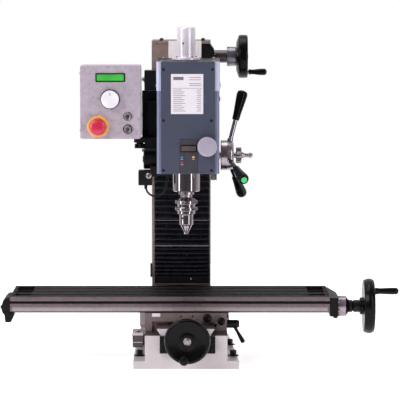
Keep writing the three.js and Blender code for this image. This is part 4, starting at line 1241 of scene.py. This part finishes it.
@dataclass
class HeadUnit:
    """Head casting, belt cover, front cover, data plate, slide, cap over the drawbar and drive."""

    repeat: Repeater
    body: str = "head"
    cover_screws: tuple[tuple[float, float], ...] = ((-48.4, 648), (57, 648), (-48.6, 538.4), (54.6, 538.4),
                                                     (-48.4, 430.8), (54.6, 430.8))
    plate_x: tuple[float, float] = (-32.4, 37.0)
    plate_z: tuple[float, float] = (552.6, 638.6)

    def build(self) -> None:
        """Makes and dresses every piece of the head."""
        shell("head_casting", self.body, PALE_PAINT, 1.2, 3)
        # The belt cover's lighter paint is a painted highlight of the key light on its left edge.
        cover = two_tone(refined("belt_cover", 1.4, 3), LIT_LID_PAINT, BLACK_SATIN, lambda at, way: way.z > 0.8)
        fit(cover, self.body, None, ("belt_cover",))
        shell("front_cover", self.body, SLATE_PAINT, 0.9, 2)
        shell("head_carriage", self.body, BLACK_CAST, 1.2, 2)
        shell("box_bracket", self.body, BLACK_CAST, 1.2, 3)
        front = Box.of("front_cover").lo.y
        spots = [((x, front, z), (0, -1, 0)) for x, z in self.cover_screws]
        self.repeat.screws("front_cover_screws", self.body, pan_screw(3.0, 1.6), BLACK_SATIN, spots)
        self.data_plate(front)
        self.side_hardware()
        self.drawbar_cap()
        self.spring_drum()
        for node, finish in (("drive_motor", BLACK_CAST), ("drive_belt", RUBBER), ("motor_pulley", ALUMINIUM),
                             ("spindle_pulley", ALUMINIUM)):
            dress_node(node, finish)

    def data_plate(self, front: float) -> None:
        """The plate on the front cover, ruled like a table and with no words."""
        (x0, x1), (z0, z1) = self.plate_x, self.plate_z
        plate = slab("data_plate", rounded(x0, x1, z0, z1, 1.6), Toward.FRONT.at(0, front + 0.1, 0), 0.6,
                     0.15)
        fit(plate, self.body, LABEL_WHITE)
        face = front - 0.5
        for name, x, widths in (("left", x0 + 5, (26, 21, 24, 18)), ("right", x1 - 15, (9, 7, 10, 8))):
            for turn, width in enumerate(widths):
                dash = brick("dash_mark", (0, -0.05, 0), (width, 0.05, 1.15), 0)
                place = Matrix.Translation((x if name == "left" else x + 10 - width, face,
                                            z0 + 6 + turn * 4.1))
                rows = self.repeat.spread(f"data_plate_{name}_{turn}", Pattern.ROW, dash, PRINT_GREY, place,
                                          Count=3,
                                          Step=(0, 0, 16.4 * MM))
                fit(rows, self.body)
        rule = brick("data_plate_rule", (x0 + 3, face - 0.05, z1 - 31), (x1 - 3, face + 0.05, z1 - 30.2), 0)
        band = brick("data_plate_band", (x0 + 5, face - 0.06, z1 - 13), (x0 + 27, face + 0.06, z1 - 6), 0)
        notes = [brick("data_plate_note", (x1 - 30, face - 0.05, z1 - z), (x1 - 5, face + 0.05, z1 - z + 1.2),
                       0) for z in (8, 13, 21, 25)]
        fit(coat(merged("data_plate_head", [rule, band, *notes]), PRINT_GREY), self.body)

    def side_hardware(self) -> None:
        """Lid screws, side screws, slide gib screws and the steel stop under the head."""
        cover = Box.of("belt_cover")
        spots = [((x, y, cover.hi.z), (0, 0, 1)) for x in (cover.lo.x + 12, cover.hi.x - 12)
                 for y in (cover.lo.y + 12, cover.hi.y - 12)]
        spots += [((side, y, 612), (way, 0, 0)) for side, way in ((cover.lo.x, -1), (cover.hi.x, 1))
                  for y in (-50, 40, 128)]
        self.repeat.screws("belt_cover_screws", self.body, pan_screw(3.4, 2), STEEL, spots)
        slide = Box.of("head_carriage")
        spots = [((slide.lo.x, 170, z), (-1, 0, 0)) for z in range(456, 630, 40)]
        self.repeat.screws("slide_gib_screws", self.body, hex_bolt(8, 6), STEEL, spots)
        head = Box.of("head_casting")
        spots = [((head.hi.x, y, z), (1, 0, 0)) for y in (95, 135) for z in (450, 575)]
        spots += [((head.lo.x, y, z), (-1, 0, 0)) for y in (95, 135) for z in (450, 575)]
        self.repeat.screws("head_side_screws", self.body, cap_screw(4, 3), BLACK_SATIN, spots)
        # Painted shade: thin black strips on the head's flanks stand for the dark inside of motor vent slots.
        vents = brick("vent_slot", (-0.2, -16, -1.3), (0.25, 16, 1.3), 0)
        for name, x in (("left", head.lo.x), ("right", head.hi.x)):
            slots = self.repeat.spread(f"{name}_motor_vents", Pattern.ROW, duplicate(vents), BLACK_SATIN,
                                       Matrix.Translation((x, 96, 500)), Count=8, Step=(0, 0, 6.4 * MM))
            fit(slots, self.body)
        bpy.data.objects.remove(vents)
        stop = brick("depth_stop_block", (52.7, -46, 407), (66.5, -28, 423.2), 1.2)
        fit(stop, self.body, STEEL)

    def drawbar_cap(self) -> None:
        """The polished tube on the head with its cross holes."""
        profile = [(13, 666), (31, 666), (31, 671), (30, 672), (20.8, 672.4), (20, 673.4), (20, 734),
                   (19.4, 736.2), (17, 737),
                   (0, 737), (0, 731), (13, 731)]
        cap = turned("drawbar_cap", eased(profile[:-2], 0.7) + profile[-2:], Matrix(), 96, loop=True)
        holes = []
        for angle in (-20, 70, 160, 250):
            turn = Matrix.Rotation(math.radians(angle - 90), 4, "Z") @ Toward.RIGHT.at(8, 0, 702)
            holes.append(turned("cap_hole", [(0, 0), (2.3, 0), (2.3, 16), (0, 16)], turn, 24))
        fit(cut_by(cap, holes), self.body, POLISHED, ("spindle_cap",))
        spots = [((25.6 * math.cos(a), 25.6 * math.sin(a), 672), (0, 0, 1)) for a in (0.6, 2.2, 3.8, 5.3)]
        self.repeat.screws("cap_screws", self.body, cap_screw(2.4, 2), BLACK_SATIN, spots)

    def spring_drum(self) -> None:
        """The drum of the quill return spring on the left flank."""
        box = Box.of("spring_housing")
        place = Toward.LEFT.at(box.hi.x, box.mid.y, box.mid.z)
        depth = box.hi.x - box.lo.x
        profile = [(19, 0), (22, 0), (22, depth - 2.4), (20.4, depth), (15, depth), (14, depth - 1),
                   (0, depth - 1), (0, depth - 4),
                   (19, depth - 4)]
        drum = coat(turned("spring_drum", eased(profile[:-2], 0.8) + profile[-2:], place, 72, loop=True),
                    BLACK_CAST)
        nut = coat(slab("drum_nut", circle(8, 6), place @ Matrix.Translation((0, 0, depth - 1.2)), 3.2, 0.5),
                   STEEL)
        fit(merged("spring_drum", [drum, nut]), self.body, None, ("spring_housing",))


def duplicate(made: bpy.types.Object) -> bpy.types.Object:
    """A second object with the same mesh."""
    again = made.copy()
    bpy.context.collection.objects.link(again)
    return again


@dataclass
class Readout:
    """Depth readout module in the front cover, with its window and three keys."""

    body: str = "head"
    keys: tuple[tuple[float, float, Finish], ...] = ((-9.0, 459.7, BLUE_PLASTIC),
                                                     (15.8, 459.7, YELLOW_PLASTIC),
                                                     (-8.5, 448.0, RED_PLASTIC))

    def build(self) -> None:
        """Makes and dresses the module."""
        box = Box.of("readout_panel")
        shell("readout_panel", self.body, READOUT_BODY, 1.0, 3)
        front = box.lo.y
        bezel = slab("readout_bezel", rounded(box.lo.x + 1.6, box.hi.x - 1.6, 470.4, 486, 1.6),
                     Toward.FRONT.at(0, front + 0.2, 0), 1.1, 0.4)
        fit(bezel, self.body, BLACK_PLASTIC)
        window = slab("readout_window", rounded(box.lo.x + 3.4, box.hi.x - 3.4, 472.6, 483.6, 0.8),
                      Toward.FRONT.at(0, front, 0), 1.2, 0.1)
        fit(window, self.body, WINDOW_BROWN)
        marks = []
        for x, z, finish in self.keys:
            key = slab("readout_key", rounded(x - 2.7, x + 2.7, z - 1.7, z + 1.7, 1.2),
                       Toward.FRONT.at(0, front + 0.3, 0), 1.5, 0.4)
            marks.append(coat(key, finish))
            line = brick("key_mark", (x - 2.6, front - 0.12, z - 5.0), (x + 2.6, front + 0.1, z - 4.2), 0)
            marks.append(coat(line, LABEL_WHITE))
        fit(merged("readout_keys", marks), self.body)


# ---------------------------------------------------------------- quill, spindle and chuck


@dataclass
class SpindleUnit:
    """Chromed quill, spindle and keyed drill chuck."""

    repeat: Repeater
    teeth: int = 40
    ring_r: float = 24.1

    def build(self) -> None:
        """Makes and dresses every piece of the spindle."""
        quill = refined("quill", 0.4, 2)
        fit(quill, "quill_body", CHROME, ("quill",))
        dress_node("spindle", STEEL)
        self.chuck()

    def chuck(self) -> None:
        """The chuck with its toothed rings, key holes and three jaws."""
        profile = [(0, 288), (4.6, 288), (12.8, 304.4), (13.6, 304.8), (15.2, 306.6), (15.2, 327.4),
                   (16.2, 328.2), (19.3, 329.8),
                   (19.3, 336.4), (23.2, 337), (23.4, 344), (19.6, 344.6), (19.6, 351.4), (23.2, 352),
                   (23.4, 359), (21, 360.2),
                   (18, 362.2), (12.4, 365.7), (0, 365.7)]
        body = turned("chuck_body", eased(profile, 0.6), Matrix(), 96)
        holes = []
        for turn in (-127, -7, 113):
            for z, depth in ((320.5, 10.0), (348, 12.0)):
                place = Matrix.Rotation(math.radians(turn), 4, "Z") @ Toward.RIGHT.at(depth, 0, z)
                holes.append(turned("key_hole", [(0, 0), (2.9, 0), (2.9, 14), (0, 14)], place, 24))
        for turn in (30, 150, 270):
            place = Matrix.Rotation(math.radians(turn), 4, "Z") @ Toward.RIGHT.at(1.4, 0, 294.5)
            holes.append(slab("jaw_slit", rounded(-1.2, 1.2, -12, 10, 0.3, 2), place, 20))
        fit(cut_by(body, holes), "spindle_body", CHROME, ("drill_chuck",))
        for name, z in (("lower", 337.4), ("upper", 352.4)):
            tooth = slab("ring_tooth", [(-0.9, -1.15), (0.55, -0.5), (0.55, 0.5), (-0.9, 1.15)], Matrix(),
                         6.2, 0.25)
            ring = self.repeat.spread(f"chuck_{name}_teeth", Pattern.RING, tooth, CHROME,
                                      Matrix.Translation((0, 0, z)),
                                      Count=self.teeth, Radius=self.ring_r * MM)
            fit(ring, "spindle_body")
        jaws = []
        for turn in (30, 150, 270):
            jaw = [(0.5, 284), (2.6, 284), (9.0, 297.4), (9.4, 303), (0.5, 303)]
            place = Matrix.Rotation(math.radians(turn), 4, "Z") @ Matrix(((1, 0, 0, 0), (0, 0, -1, 2.5),
                                                                          (0, 1, 0, 0), (0, 0, 0, 1)))
            jaws.append(slab("chuck_jaw", jaw, place, 5.0, 0.4))
        fit(merged("chuck_jaws", jaws), "spindle_body", STEEL)


@dataclass
class FeedUnit:
    """Feed hub with three levers, its winged lock and the fine feed knob."""

    centre: tuple[float, float] = (36.0, 455.0)
    root_x: float = 88.0
    lean: float = 14.5
    angles: tuple[float, ...] = (-12.5, 107.5, 227.5)
    length: float = 148.0

    @property
    def place(self) -> Matrix:
        """The feed axis along +X."""
        return Toward.RIGHT.at(0, *self.centre)

    def build(self) -> None:
        """Makes and dresses every piece of the feed."""
        profile = [(6.4, 75.5), (32, 75.5), (33, 76.6), (33, 89.6), (31.4, 98.6), (30.4, 101), (27, 104),
                   (6.4, 104)]
        hub = turned("feed_hub_turned", eased(profile, 1.4), self.place, 112, loop=True)
        finish = replace(STEEL, name="hub_steel", colour=(160, 150, 156), centre=(0.0, *self.centre), along=0,
                         roughness=0.24)
        fit(hub, "feed", finish, ("feed_hub",))
        dress_node("feed_shaft", STEEL)
        dress_node("feed_worm_wheel", BRONZE)
        for number, angle in enumerate(self.angles, 1):
            self.lever(number, angle)
        self.winged_lock()
        self.fine_knob()

    def lever(self, number: int, angle: float) -> None:
        """One chromed lever with its black grip and green end.

        Args:
            number: the lever's number.
            angle: its angle from straight up towards the operator, in degrees.
        """
        lean, around = math.radians(self.lean), math.radians(angle)
        way = Vector((math.sin(lean), -math.cos(lean) * math.sin(around), math.cos(lean) * math.cos(around)))
        place = Matrix.Translation((self.root_x,
                                    *self.centre)) @ way.to_track_quat("Z", "Y").to_matrix().to_4x4()
        end = self.length
        collar = [(0, 24), (5.0, 24), (5.0, 32), (6.6, 32.4), (6.6, 37), (5.0, 37.6), (5.0, end - 64),
                  (0, end - 64)]
        rod = coat(turned("lever_rod", eased(collar, 0.4), place, 40), CHROME)
        taper = [(0, end - 67), (7.0, end - 67), (7.8, end - 65.6), (8.6, end - 50), (11.4, end - 18),
                 (12, end - 9), (11, end - 3.4),
                 (8.4, end - 0.8), (0, end - 0.8)]
        grip = coat(turned("lever_grip", eased(taper, 1.6), place, 56), BLACK_PLASTIC)
        tip = [(0, end - 3), (6.6, end - 3), (6.6, end - 0.4), (5.6, end + 0.3), (0, end + 0.6)]
        cap = coat(turned("lever_cap", eased(tip, 1.2), place, 40), GREEN_PLASTIC)
        fit(merged(f"lever_{number}_turned", [grip, rod, cap]), "feed", None, (f"feed_lever_{number}",))

    def winged_lock(self) -> None:
        """The cross-shaped lock nut with its domed black cap."""
        wings = []
        for w, h in ((17.5, 5.2), (5.2, 17.5)):
            place = self.place @ Matrix.Translation((0, 0, 109))
            wings.append(coat(slab("lock_wing", rounded(-w, w, -h, h, 4.4), place, 12, 1.6), STEEL))
        stem = coat(turned("lock_stem", eased([(0, 104.6), (6, 104.6), (6, 110), (10, 111), (10, 122),
                                               (0, 122)], 0.8), self.place, 56), STEEL)
        cap_profile = [(0, 121), (7, 121), (7, 122.6), (4.6, 128), (4.6, 138), (5.6, 140), (5.6, 143.2),
                       (3, 146), (0, 146)]
        cap = coat(turned("lock_cap", eased(cap_profile, 1.0), self.place, 48), CHROME)
        fit(merged("winged_lock", [*wings, stem, cap]), "hub_lock", None, ("hub_lock_knob",))

    def fine_knob(self) -> None:
        """The flat disc knob of the fine feed and its worm shaft."""
        box = Box.of("fine_feed_knob")
        place = Toward.FRONT.at(box.mid.x, 0, box.mid.z)
        face = 77.0
        profile = [(0, face + 0.6), (12, face + 0.6), (12, face + 4), (20, face + 4), (21, face + 5.2),
                   (21, face + 20.8), (20, face + 22),
                   (6, face + 22.4), (0, face + 22.4)]
        finish = replace(ALUMINIUM, name="knob_aluminium", colour=(184, 175, 194), metallic=0.45,
                         centre=(box.mid.x, 0.0, box.mid.z), along=1, roughness=0.36)
        knob = coat(turned("knob_disc", eased(profile, 0.5), place, 96), finish)
        shaft_profile = [(0, -57), (5, -57), (5, -48), (8, -46), (8, -18), (5, -16), (5, face + 1),
                         (0, face + 1)]
        shaft = coat(turned("knob_shaft", shaft_profile, place, 32), STEEL)
        fit(merged("fine_knob", [knob, shaft]), "fine_feed", None, ("fine_feed_knob",))


# ---------------------------------------------------------------- control box


@dataclass
class ControlBox:
    """Folded stainless control box with its display, speed knob and buttons."""

    repeat: Repeater
    body: str = "control_box_body"
    screen_x: tuple[float, float] = (-195.8, -131.6)
    screen_z: tuple[float, float] = (620.2, 639.3)

    def build(self) -> None:
        """Makes and dresses every piece of the box."""
        shell("control_box", self.body, STAINLESS, 0.8, 3)
        box = Box.of("control_box")
        front = box.lo.y
        (x0, x1), (z0, z1) = self.screen_x, self.screen_z
        fit(slab("display_frame", rounded(x0, x1, z0, z1, 1.4), Toward.FRONT.at(0, front + 0.1, 0), 1.5, 0.4),
            self.body, BLACK_SATIN)
        fit(slab("display_glass", rounded(x0 + 3, x1 - 3, z0 + 2.8, z1 - 2.8, 0.6),
                 Toward.FRONT.at(0, front - 1.2, 0), 0.6, 0.1),
            self.body, DISPLAY_GREEN)
        spots = [((x, box.hi.y, z), (0, 1, 0)) for x in (box.lo.x + 10, box.hi.x - 48)
                 for z in (box.lo.z + 10, box.hi.z - 10)]
        spots += [((side, y, z), (way, 0, 0)) for side, way in ((box.lo.x, -1),) for y in (-36, 6)
                  for z in (515, 638)]
        self.repeat.screws("control_box_screws", self.body, pan_screw(3, 1.8), CHROME, spots)
        fit(brick("back_seam", (box.lo.x + 4, box.hi.y - 0.4, box.lo.z + 4),
                  (box.hi.x - 40, box.hi.y + 0.8, box.hi.z - 4), 0.4),
            self.body, STAINLESS)
        self.speed_knob(front)
        self.mushroom(front)
        for name, ring_r, cap_r in (("start", 10.0, 7.4), ("stop", 11.0, 7.4)):
            self.push_button(name, ring_r, cap_r, front)
        knob = refined("swivel_knob", 0.9, 3)
        fit(knob, "swivel_lock", BLACK_PLASTIC, ("swivel_knob",))

    def speed_knob(self, front: float) -> None:
        """The turned speed knob over its graduated ring."""
        box = Box.of("speed_knob")
        place = Toward.FRONT.at(box.mid.x, front, box.mid.z)
        centre = (box.mid.x, 0.0, box.mid.z)
        skirt_profile = [(0, 0.3), (21.2, 0.3), (21.5, 1.2), (21.2, 2.4), (19.4, 4.2), (19, 5), (0, 5)]
        skirt = coat(turned("speed_skirt", eased(skirt_profile, 0.5), place, 96),
                     replace(STEEL, name="speed_skirt_steel", colour=(46, 42, 46), centre=centre, along=1))
        top = eased([(0, 4), (19.4, 4), (19.2, 14.6), (18.4, 16.2), (0, 16.5)], 0.6)
        face_finish = replace(ALUMINIUM, name="speed_cap_aluminium", colour=(246, 242, 250), metallic=0.35,
                              roughness=0.34, relief=0.0, size=8.0, drift=0.01, centre=centre, along=1,
                              spun=0.8)
        cap = coat(turned("speed_cap", top, place, 96), face_finish)
        shaft = coat(turned("speed_shaft", [(0, -8), (3, -8), (3, 1), (0, 1)], place, 20), STEEL)
        pointer = coat(slab("speed_pointer", rounded(-0.5, 0.5, 8, 15, 0.45, 3),
                            place @ Matrix.Translation((0, 0, 16.2)), 0.5), INK)
        fit(merged("speed_knob_turned", [cap, skirt, shaft, pointer]), "speed_knob_body", None,
            ("speed_knob",))
        rib = slab("knob_rib", [(-0.5, -0.55), (0.5, -0.3), (0.5, 0.3), (-0.5, 0.55)], Matrix(), 8.6)
        ribs = self.repeat.spread("speed_knob_ribs", Pattern.RING, rib,
                                  replace(ALUMINIUM, name="rib_aluminium", centre=centre, along=1),
                                  place @ Matrix.Translation((0, 0, 5.2)), Count=48, Radius=19.2 * MM)
        fit(ribs, "speed_knob_body")

    def mushroom(self, front: float) -> None:
        """The red mushroom switch in its yellow ring."""
        box = Box.of("estop_button")
        place = Toward.FRONT.at(box.mid.x, front, box.mid.z)
        ring = [(9.6, 0), (23, 0), (23, 1.3), (21.8, 2.1), (12, 2.4), (9.6, 2.4)]
        fit(turned("stop_switch_ring", eased(ring, 0.6), place, 96, loop=True), self.body, YELLOW_PLASTIC)
        head = [(0, -14), (9, -14), (9, 9), (14, 10), (18, 12), (19, 14.4), (19, 17.6), (17.6, 20.6),
                (13.6, 23), (12.6, 22.6),
                (11.6, 23.4), (6, 24.4), (0, 24.5)]
        fit(turned("stop_switch_head", eased(head, 1.0), place, 96), "estop", RED_PLASTIC, ("estop_button",))

    def push_button(self, name: str, ring_r: float, cap_r: float, front: float) -> None:
        """One chromed push button in its bezel.

        Args:
            name: start or stop.
            ring_r: the bezel's radius.
            cap_r: the button's radius.
            front: the panel's face.
        """
        box = Box.of(f"{name}_button")
        place = Toward.FRONT.at(box.mid.x, front, box.mid.z)
        ring = [(8, 0), (ring_r, 0), (ring_r, 1.4), (ring_r - 0.9, 2.6), (8.2, 2.6), (8, 1.8)]
        bezel_finish = replace(CHROME, name=f"{name}_bezel_chrome", centre=(box.mid.x, 0.0, box.mid.z),
                               along=1)
        fit(turned(f"{name}_bezel", eased(ring, 0.4), place, 64, loop=True), self.body, bezel_finish)
        cap = [(0, -10), (cap_r, -10), (cap_r, 3.4), (cap_r - 0.8, 4), (cap_r - 1.6, 3.8), (cap_r - 2.4, 3.2),
               (0, 3.2)]
        fit(turned(f"{name}_button_turned", eased(cap, 0.3), place, 64), f"{name}_key", STEEL,
            (f"{name}_button",))


@dataclass
class SensorUnit:
    """Travel sensor below the spring drum and its lead to the head."""

    body: str = "head"
    lead_r: float = 2.2
    route: tuple[Vec3, ...] = (
        (-89, 15, 391.2), (-89, 15, 387), (-88.4, 15, 382), (-86, 14.8, 376.5), (-82, 14.5, 371.5),
                               (-77, 15, 368.4),
        (-71, 16, 366), (-65, 18, 365), (-59, 20.5, 366.3), (-53.5, 23.5, 370), (-48.5, 27, 376.5),
                               (-45, 31, 385),
        (-42.5, 35, 395), (-41, 38, 405), (-40.2, 39.5, 414), (-40, 40, 422), (-40, 40, 430))

    def build(self) -> None:
        """Makes and dresses the sensor and its lead."""
        shell("sensor_box", self.body, BLACK_SATIN, 1.2, 3)
        box = Box.of("sensor_box")
        socket = eased([(0, -1), (6.4, -1), (6.4, 1.2), (4.6, 1.8), (4.6, 4.4), (3.2, 4.8), (3.2, 3.2),
                        (0, 3.2)], 0.3)
        fit(turned("sensor_socket", socket, Toward.FRONT.at(box.mid.x + 2, box.lo.y, box.mid.z), 48),
            self.body, STEEL)
        lead = tube("sensor_lead_tube", list(self.route), self.lead_r, 6)
        fit(lead, self.body, LEAD_SHEATH, ("sensor_lead",))
        relief = [(0, -1), (4.2, -1), (4.2, 1), (3.6, 2), (3.0, 9), (0, 9)]
        start = turned("lead_relief", eased(relief, 0.5), Toward.DOWN.at(-89, 15, 391.4), 28)
        end = turned("lead_gland", eased([(0, -1), (6, -1), (6, 3), (4.6, 4), (4.2, 9), (3, 10), (0, 10)],
                                         0.6),
                     Toward.DOWN.at(-40, 40, 423), 28)
        fit(merged("lead_fittings", [start, end]), self.body, BLACK_PLASTIC)


# ---------------------------------------------------------------- stage


@dataclass
class Studio:
    """Pale floor, white surround, soft lights and the camera."""

    eye: Vec3 = (0.030, -5.150, 0.861)
    pitch: float = 5.563
    lens: float = 212.6
    front_tone: float = 0.11
    side_tone: float = 0.3
    back_tone: float = 0.85

    def build(self) -> None:
        """Makes the floor, the lights and the camera."""
        self.camera()
        floor = slab("floor", circle(1700, 96, 0, 60), Toward.UP.at(0, 0, -8), 8)
        coat(floor, FLOOR)
        world = bpy.data.worlds.new("studio")
        bpy.context.scene.world = world
        world.use_nodes = True
        self.surround(Graph(world.node_tree))
        self.light("key", (-1.3, -1.7, 1.9), (1.0, 1.0), 25)
        self.light("fill", (2.4, -2.2, 1.2), (0.7, 1.6), 9)
        self.light("top", (-0.2, 0.2, 2.6), (1.6, 1.0), 18)
        self.light("left_strip", (-1.3, -0.7, 0.6), (0.2, 1.5), 8)
        self.light("right_strip", (1.1, -1.1, 0.7), (0.16, 1.5), 6)
        view = bpy.context.scene.view_settings
        view.view_transform = "Standard"
        view.look = "None"

    def surround(self, graph: Graph) -> None:
        """A surround that is bright behind the machine and dim in front, and plain white to look at."""
        split = graph.add("ShaderNodeSeparateXYZ")
        graph.link(graph.add("ShaderNodeTexCoord").outputs["Generated"], split.inputs[0])
        depth = graph.maths("MULTIPLY_ADD", split.outputs["Y"], 0.5, 0.5)
        tones = [(0.0, self.front_tone), (0.45, self.side_tone), (0.75, self.back_tone),
                 (1.0, self.back_tone)]
        colour = graph.ramp(depth, [(at, (tone, tone * 0.98, tone, 1.0)) for at, tone in tones])
        lit = graph.tree.nodes["Background"]
        graph.link(colour, lit.inputs["Color"])
        seen = graph.add("ShaderNodeBackground")
        mix = graph.add("ShaderNodeMixShader")
        graph.link(graph.add("ShaderNodeLightPath").outputs["Is Camera Ray"], mix.inputs[0])
        graph.link(lit.outputs[0], mix.inputs[1])
        graph.link(seen.outputs[0], mix.inputs[2])
        seen.inputs["Color"].default_value = (1, 1, 1, 1)
        graph.link(mix.outputs[0], graph.tree.nodes["World Output"].inputs["Surface"])

    def light(self, name: str, at: Vec3, size: tuple[float, float], power: float) -> None:
        """A soft lamp that looks at the middle of the machine.

        Args:
            name: the lamp's name.
            at: its place in metres.
            size: its width and height in metres.
            power: its power in watts.
        """
        data = bpy.data.lights.new(name, "AREA")
        data.shape = "RECTANGLE"
        data.size, data.size_y = size
        data.energy = power
        lamp = bpy.data.objects.new(name, data)
        lamp.location = at
        lamp.rotation_euler = (Vector((0, 0.05, 0.35)) - Vector(at)).to_track_quat("-Z", "Y").to_euler()
        bpy.context.collection.objects.link(lamp)

    def camera(self) -> None:
        """The camera in front of the machine."""
        data = bpy.data.cameras.new("front_camera")
        data.lens = self.lens
        data.sensor_width = 36
        camera = bpy.data.objects.new("front_camera", data)
        camera.location = self.eye
        camera.rotation_euler = (math.radians(90 - self.pitch), 0, 0)
        bpy.context.collection.objects.link(camera)
        bpy.context.scene.camera = camera


# ---------------------------------------------------------------- the whole machine


def cranks(repeat: Repeater) -> list[Crank]:
    """The table crank and the column crank."""
    table = Crank(repeat, "x", centre=(30, 121), dial_from=334, dial_to=360, wheel_at=383, radius=61,
                  depth=24, hub_r=19,
                  hub_length=8, grip_at=(-14, 35), grip_from=416, grip_length=52, grip_r=(7.5, 7.5),
                  dial_finish=DIAL_PALE, clutch=True)
    column = Crank(repeat, "z", centre=(236, 665), dial_from=91.2, dial_to=112, wheel_at=112.4, radius=49,
                   depth=20,
                   hub_r=17, hub_length=6, grip_at=(-6, -35), grip_from=140, grip_length=42,
                   grip_r=(6.2, 7.5),
                   dial_finish=DIAL_GREY, dial_r=22)
    return [table, column]


def main() -> None:
    """Builds every sub-assembly in order."""
    logging.basicConfig(level=logging.INFO, format="%(message)s", stream=sys.stdout)
    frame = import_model()
    NODES.update(frame["nodes"])
    repeat = Repeater()
    units = [Studio(), BaseUnit(repeat), ColumnUnit(repeat), SaddleUnit(repeat), TableUnit(repeat),
             *cranks(repeat),
             FrontWheel(repeat), HeadUnit(repeat), Readout(), SpindleUnit(repeat), FeedUnit(),
             ControlBox(repeat), SensorUnit()]
    for unit in units:
        LOG.info("building %s", type(unit).__name__)
        unit.build()
    dress_node("z_drive_shaft", STEEL)


if __name__ == "__main__":
    main()
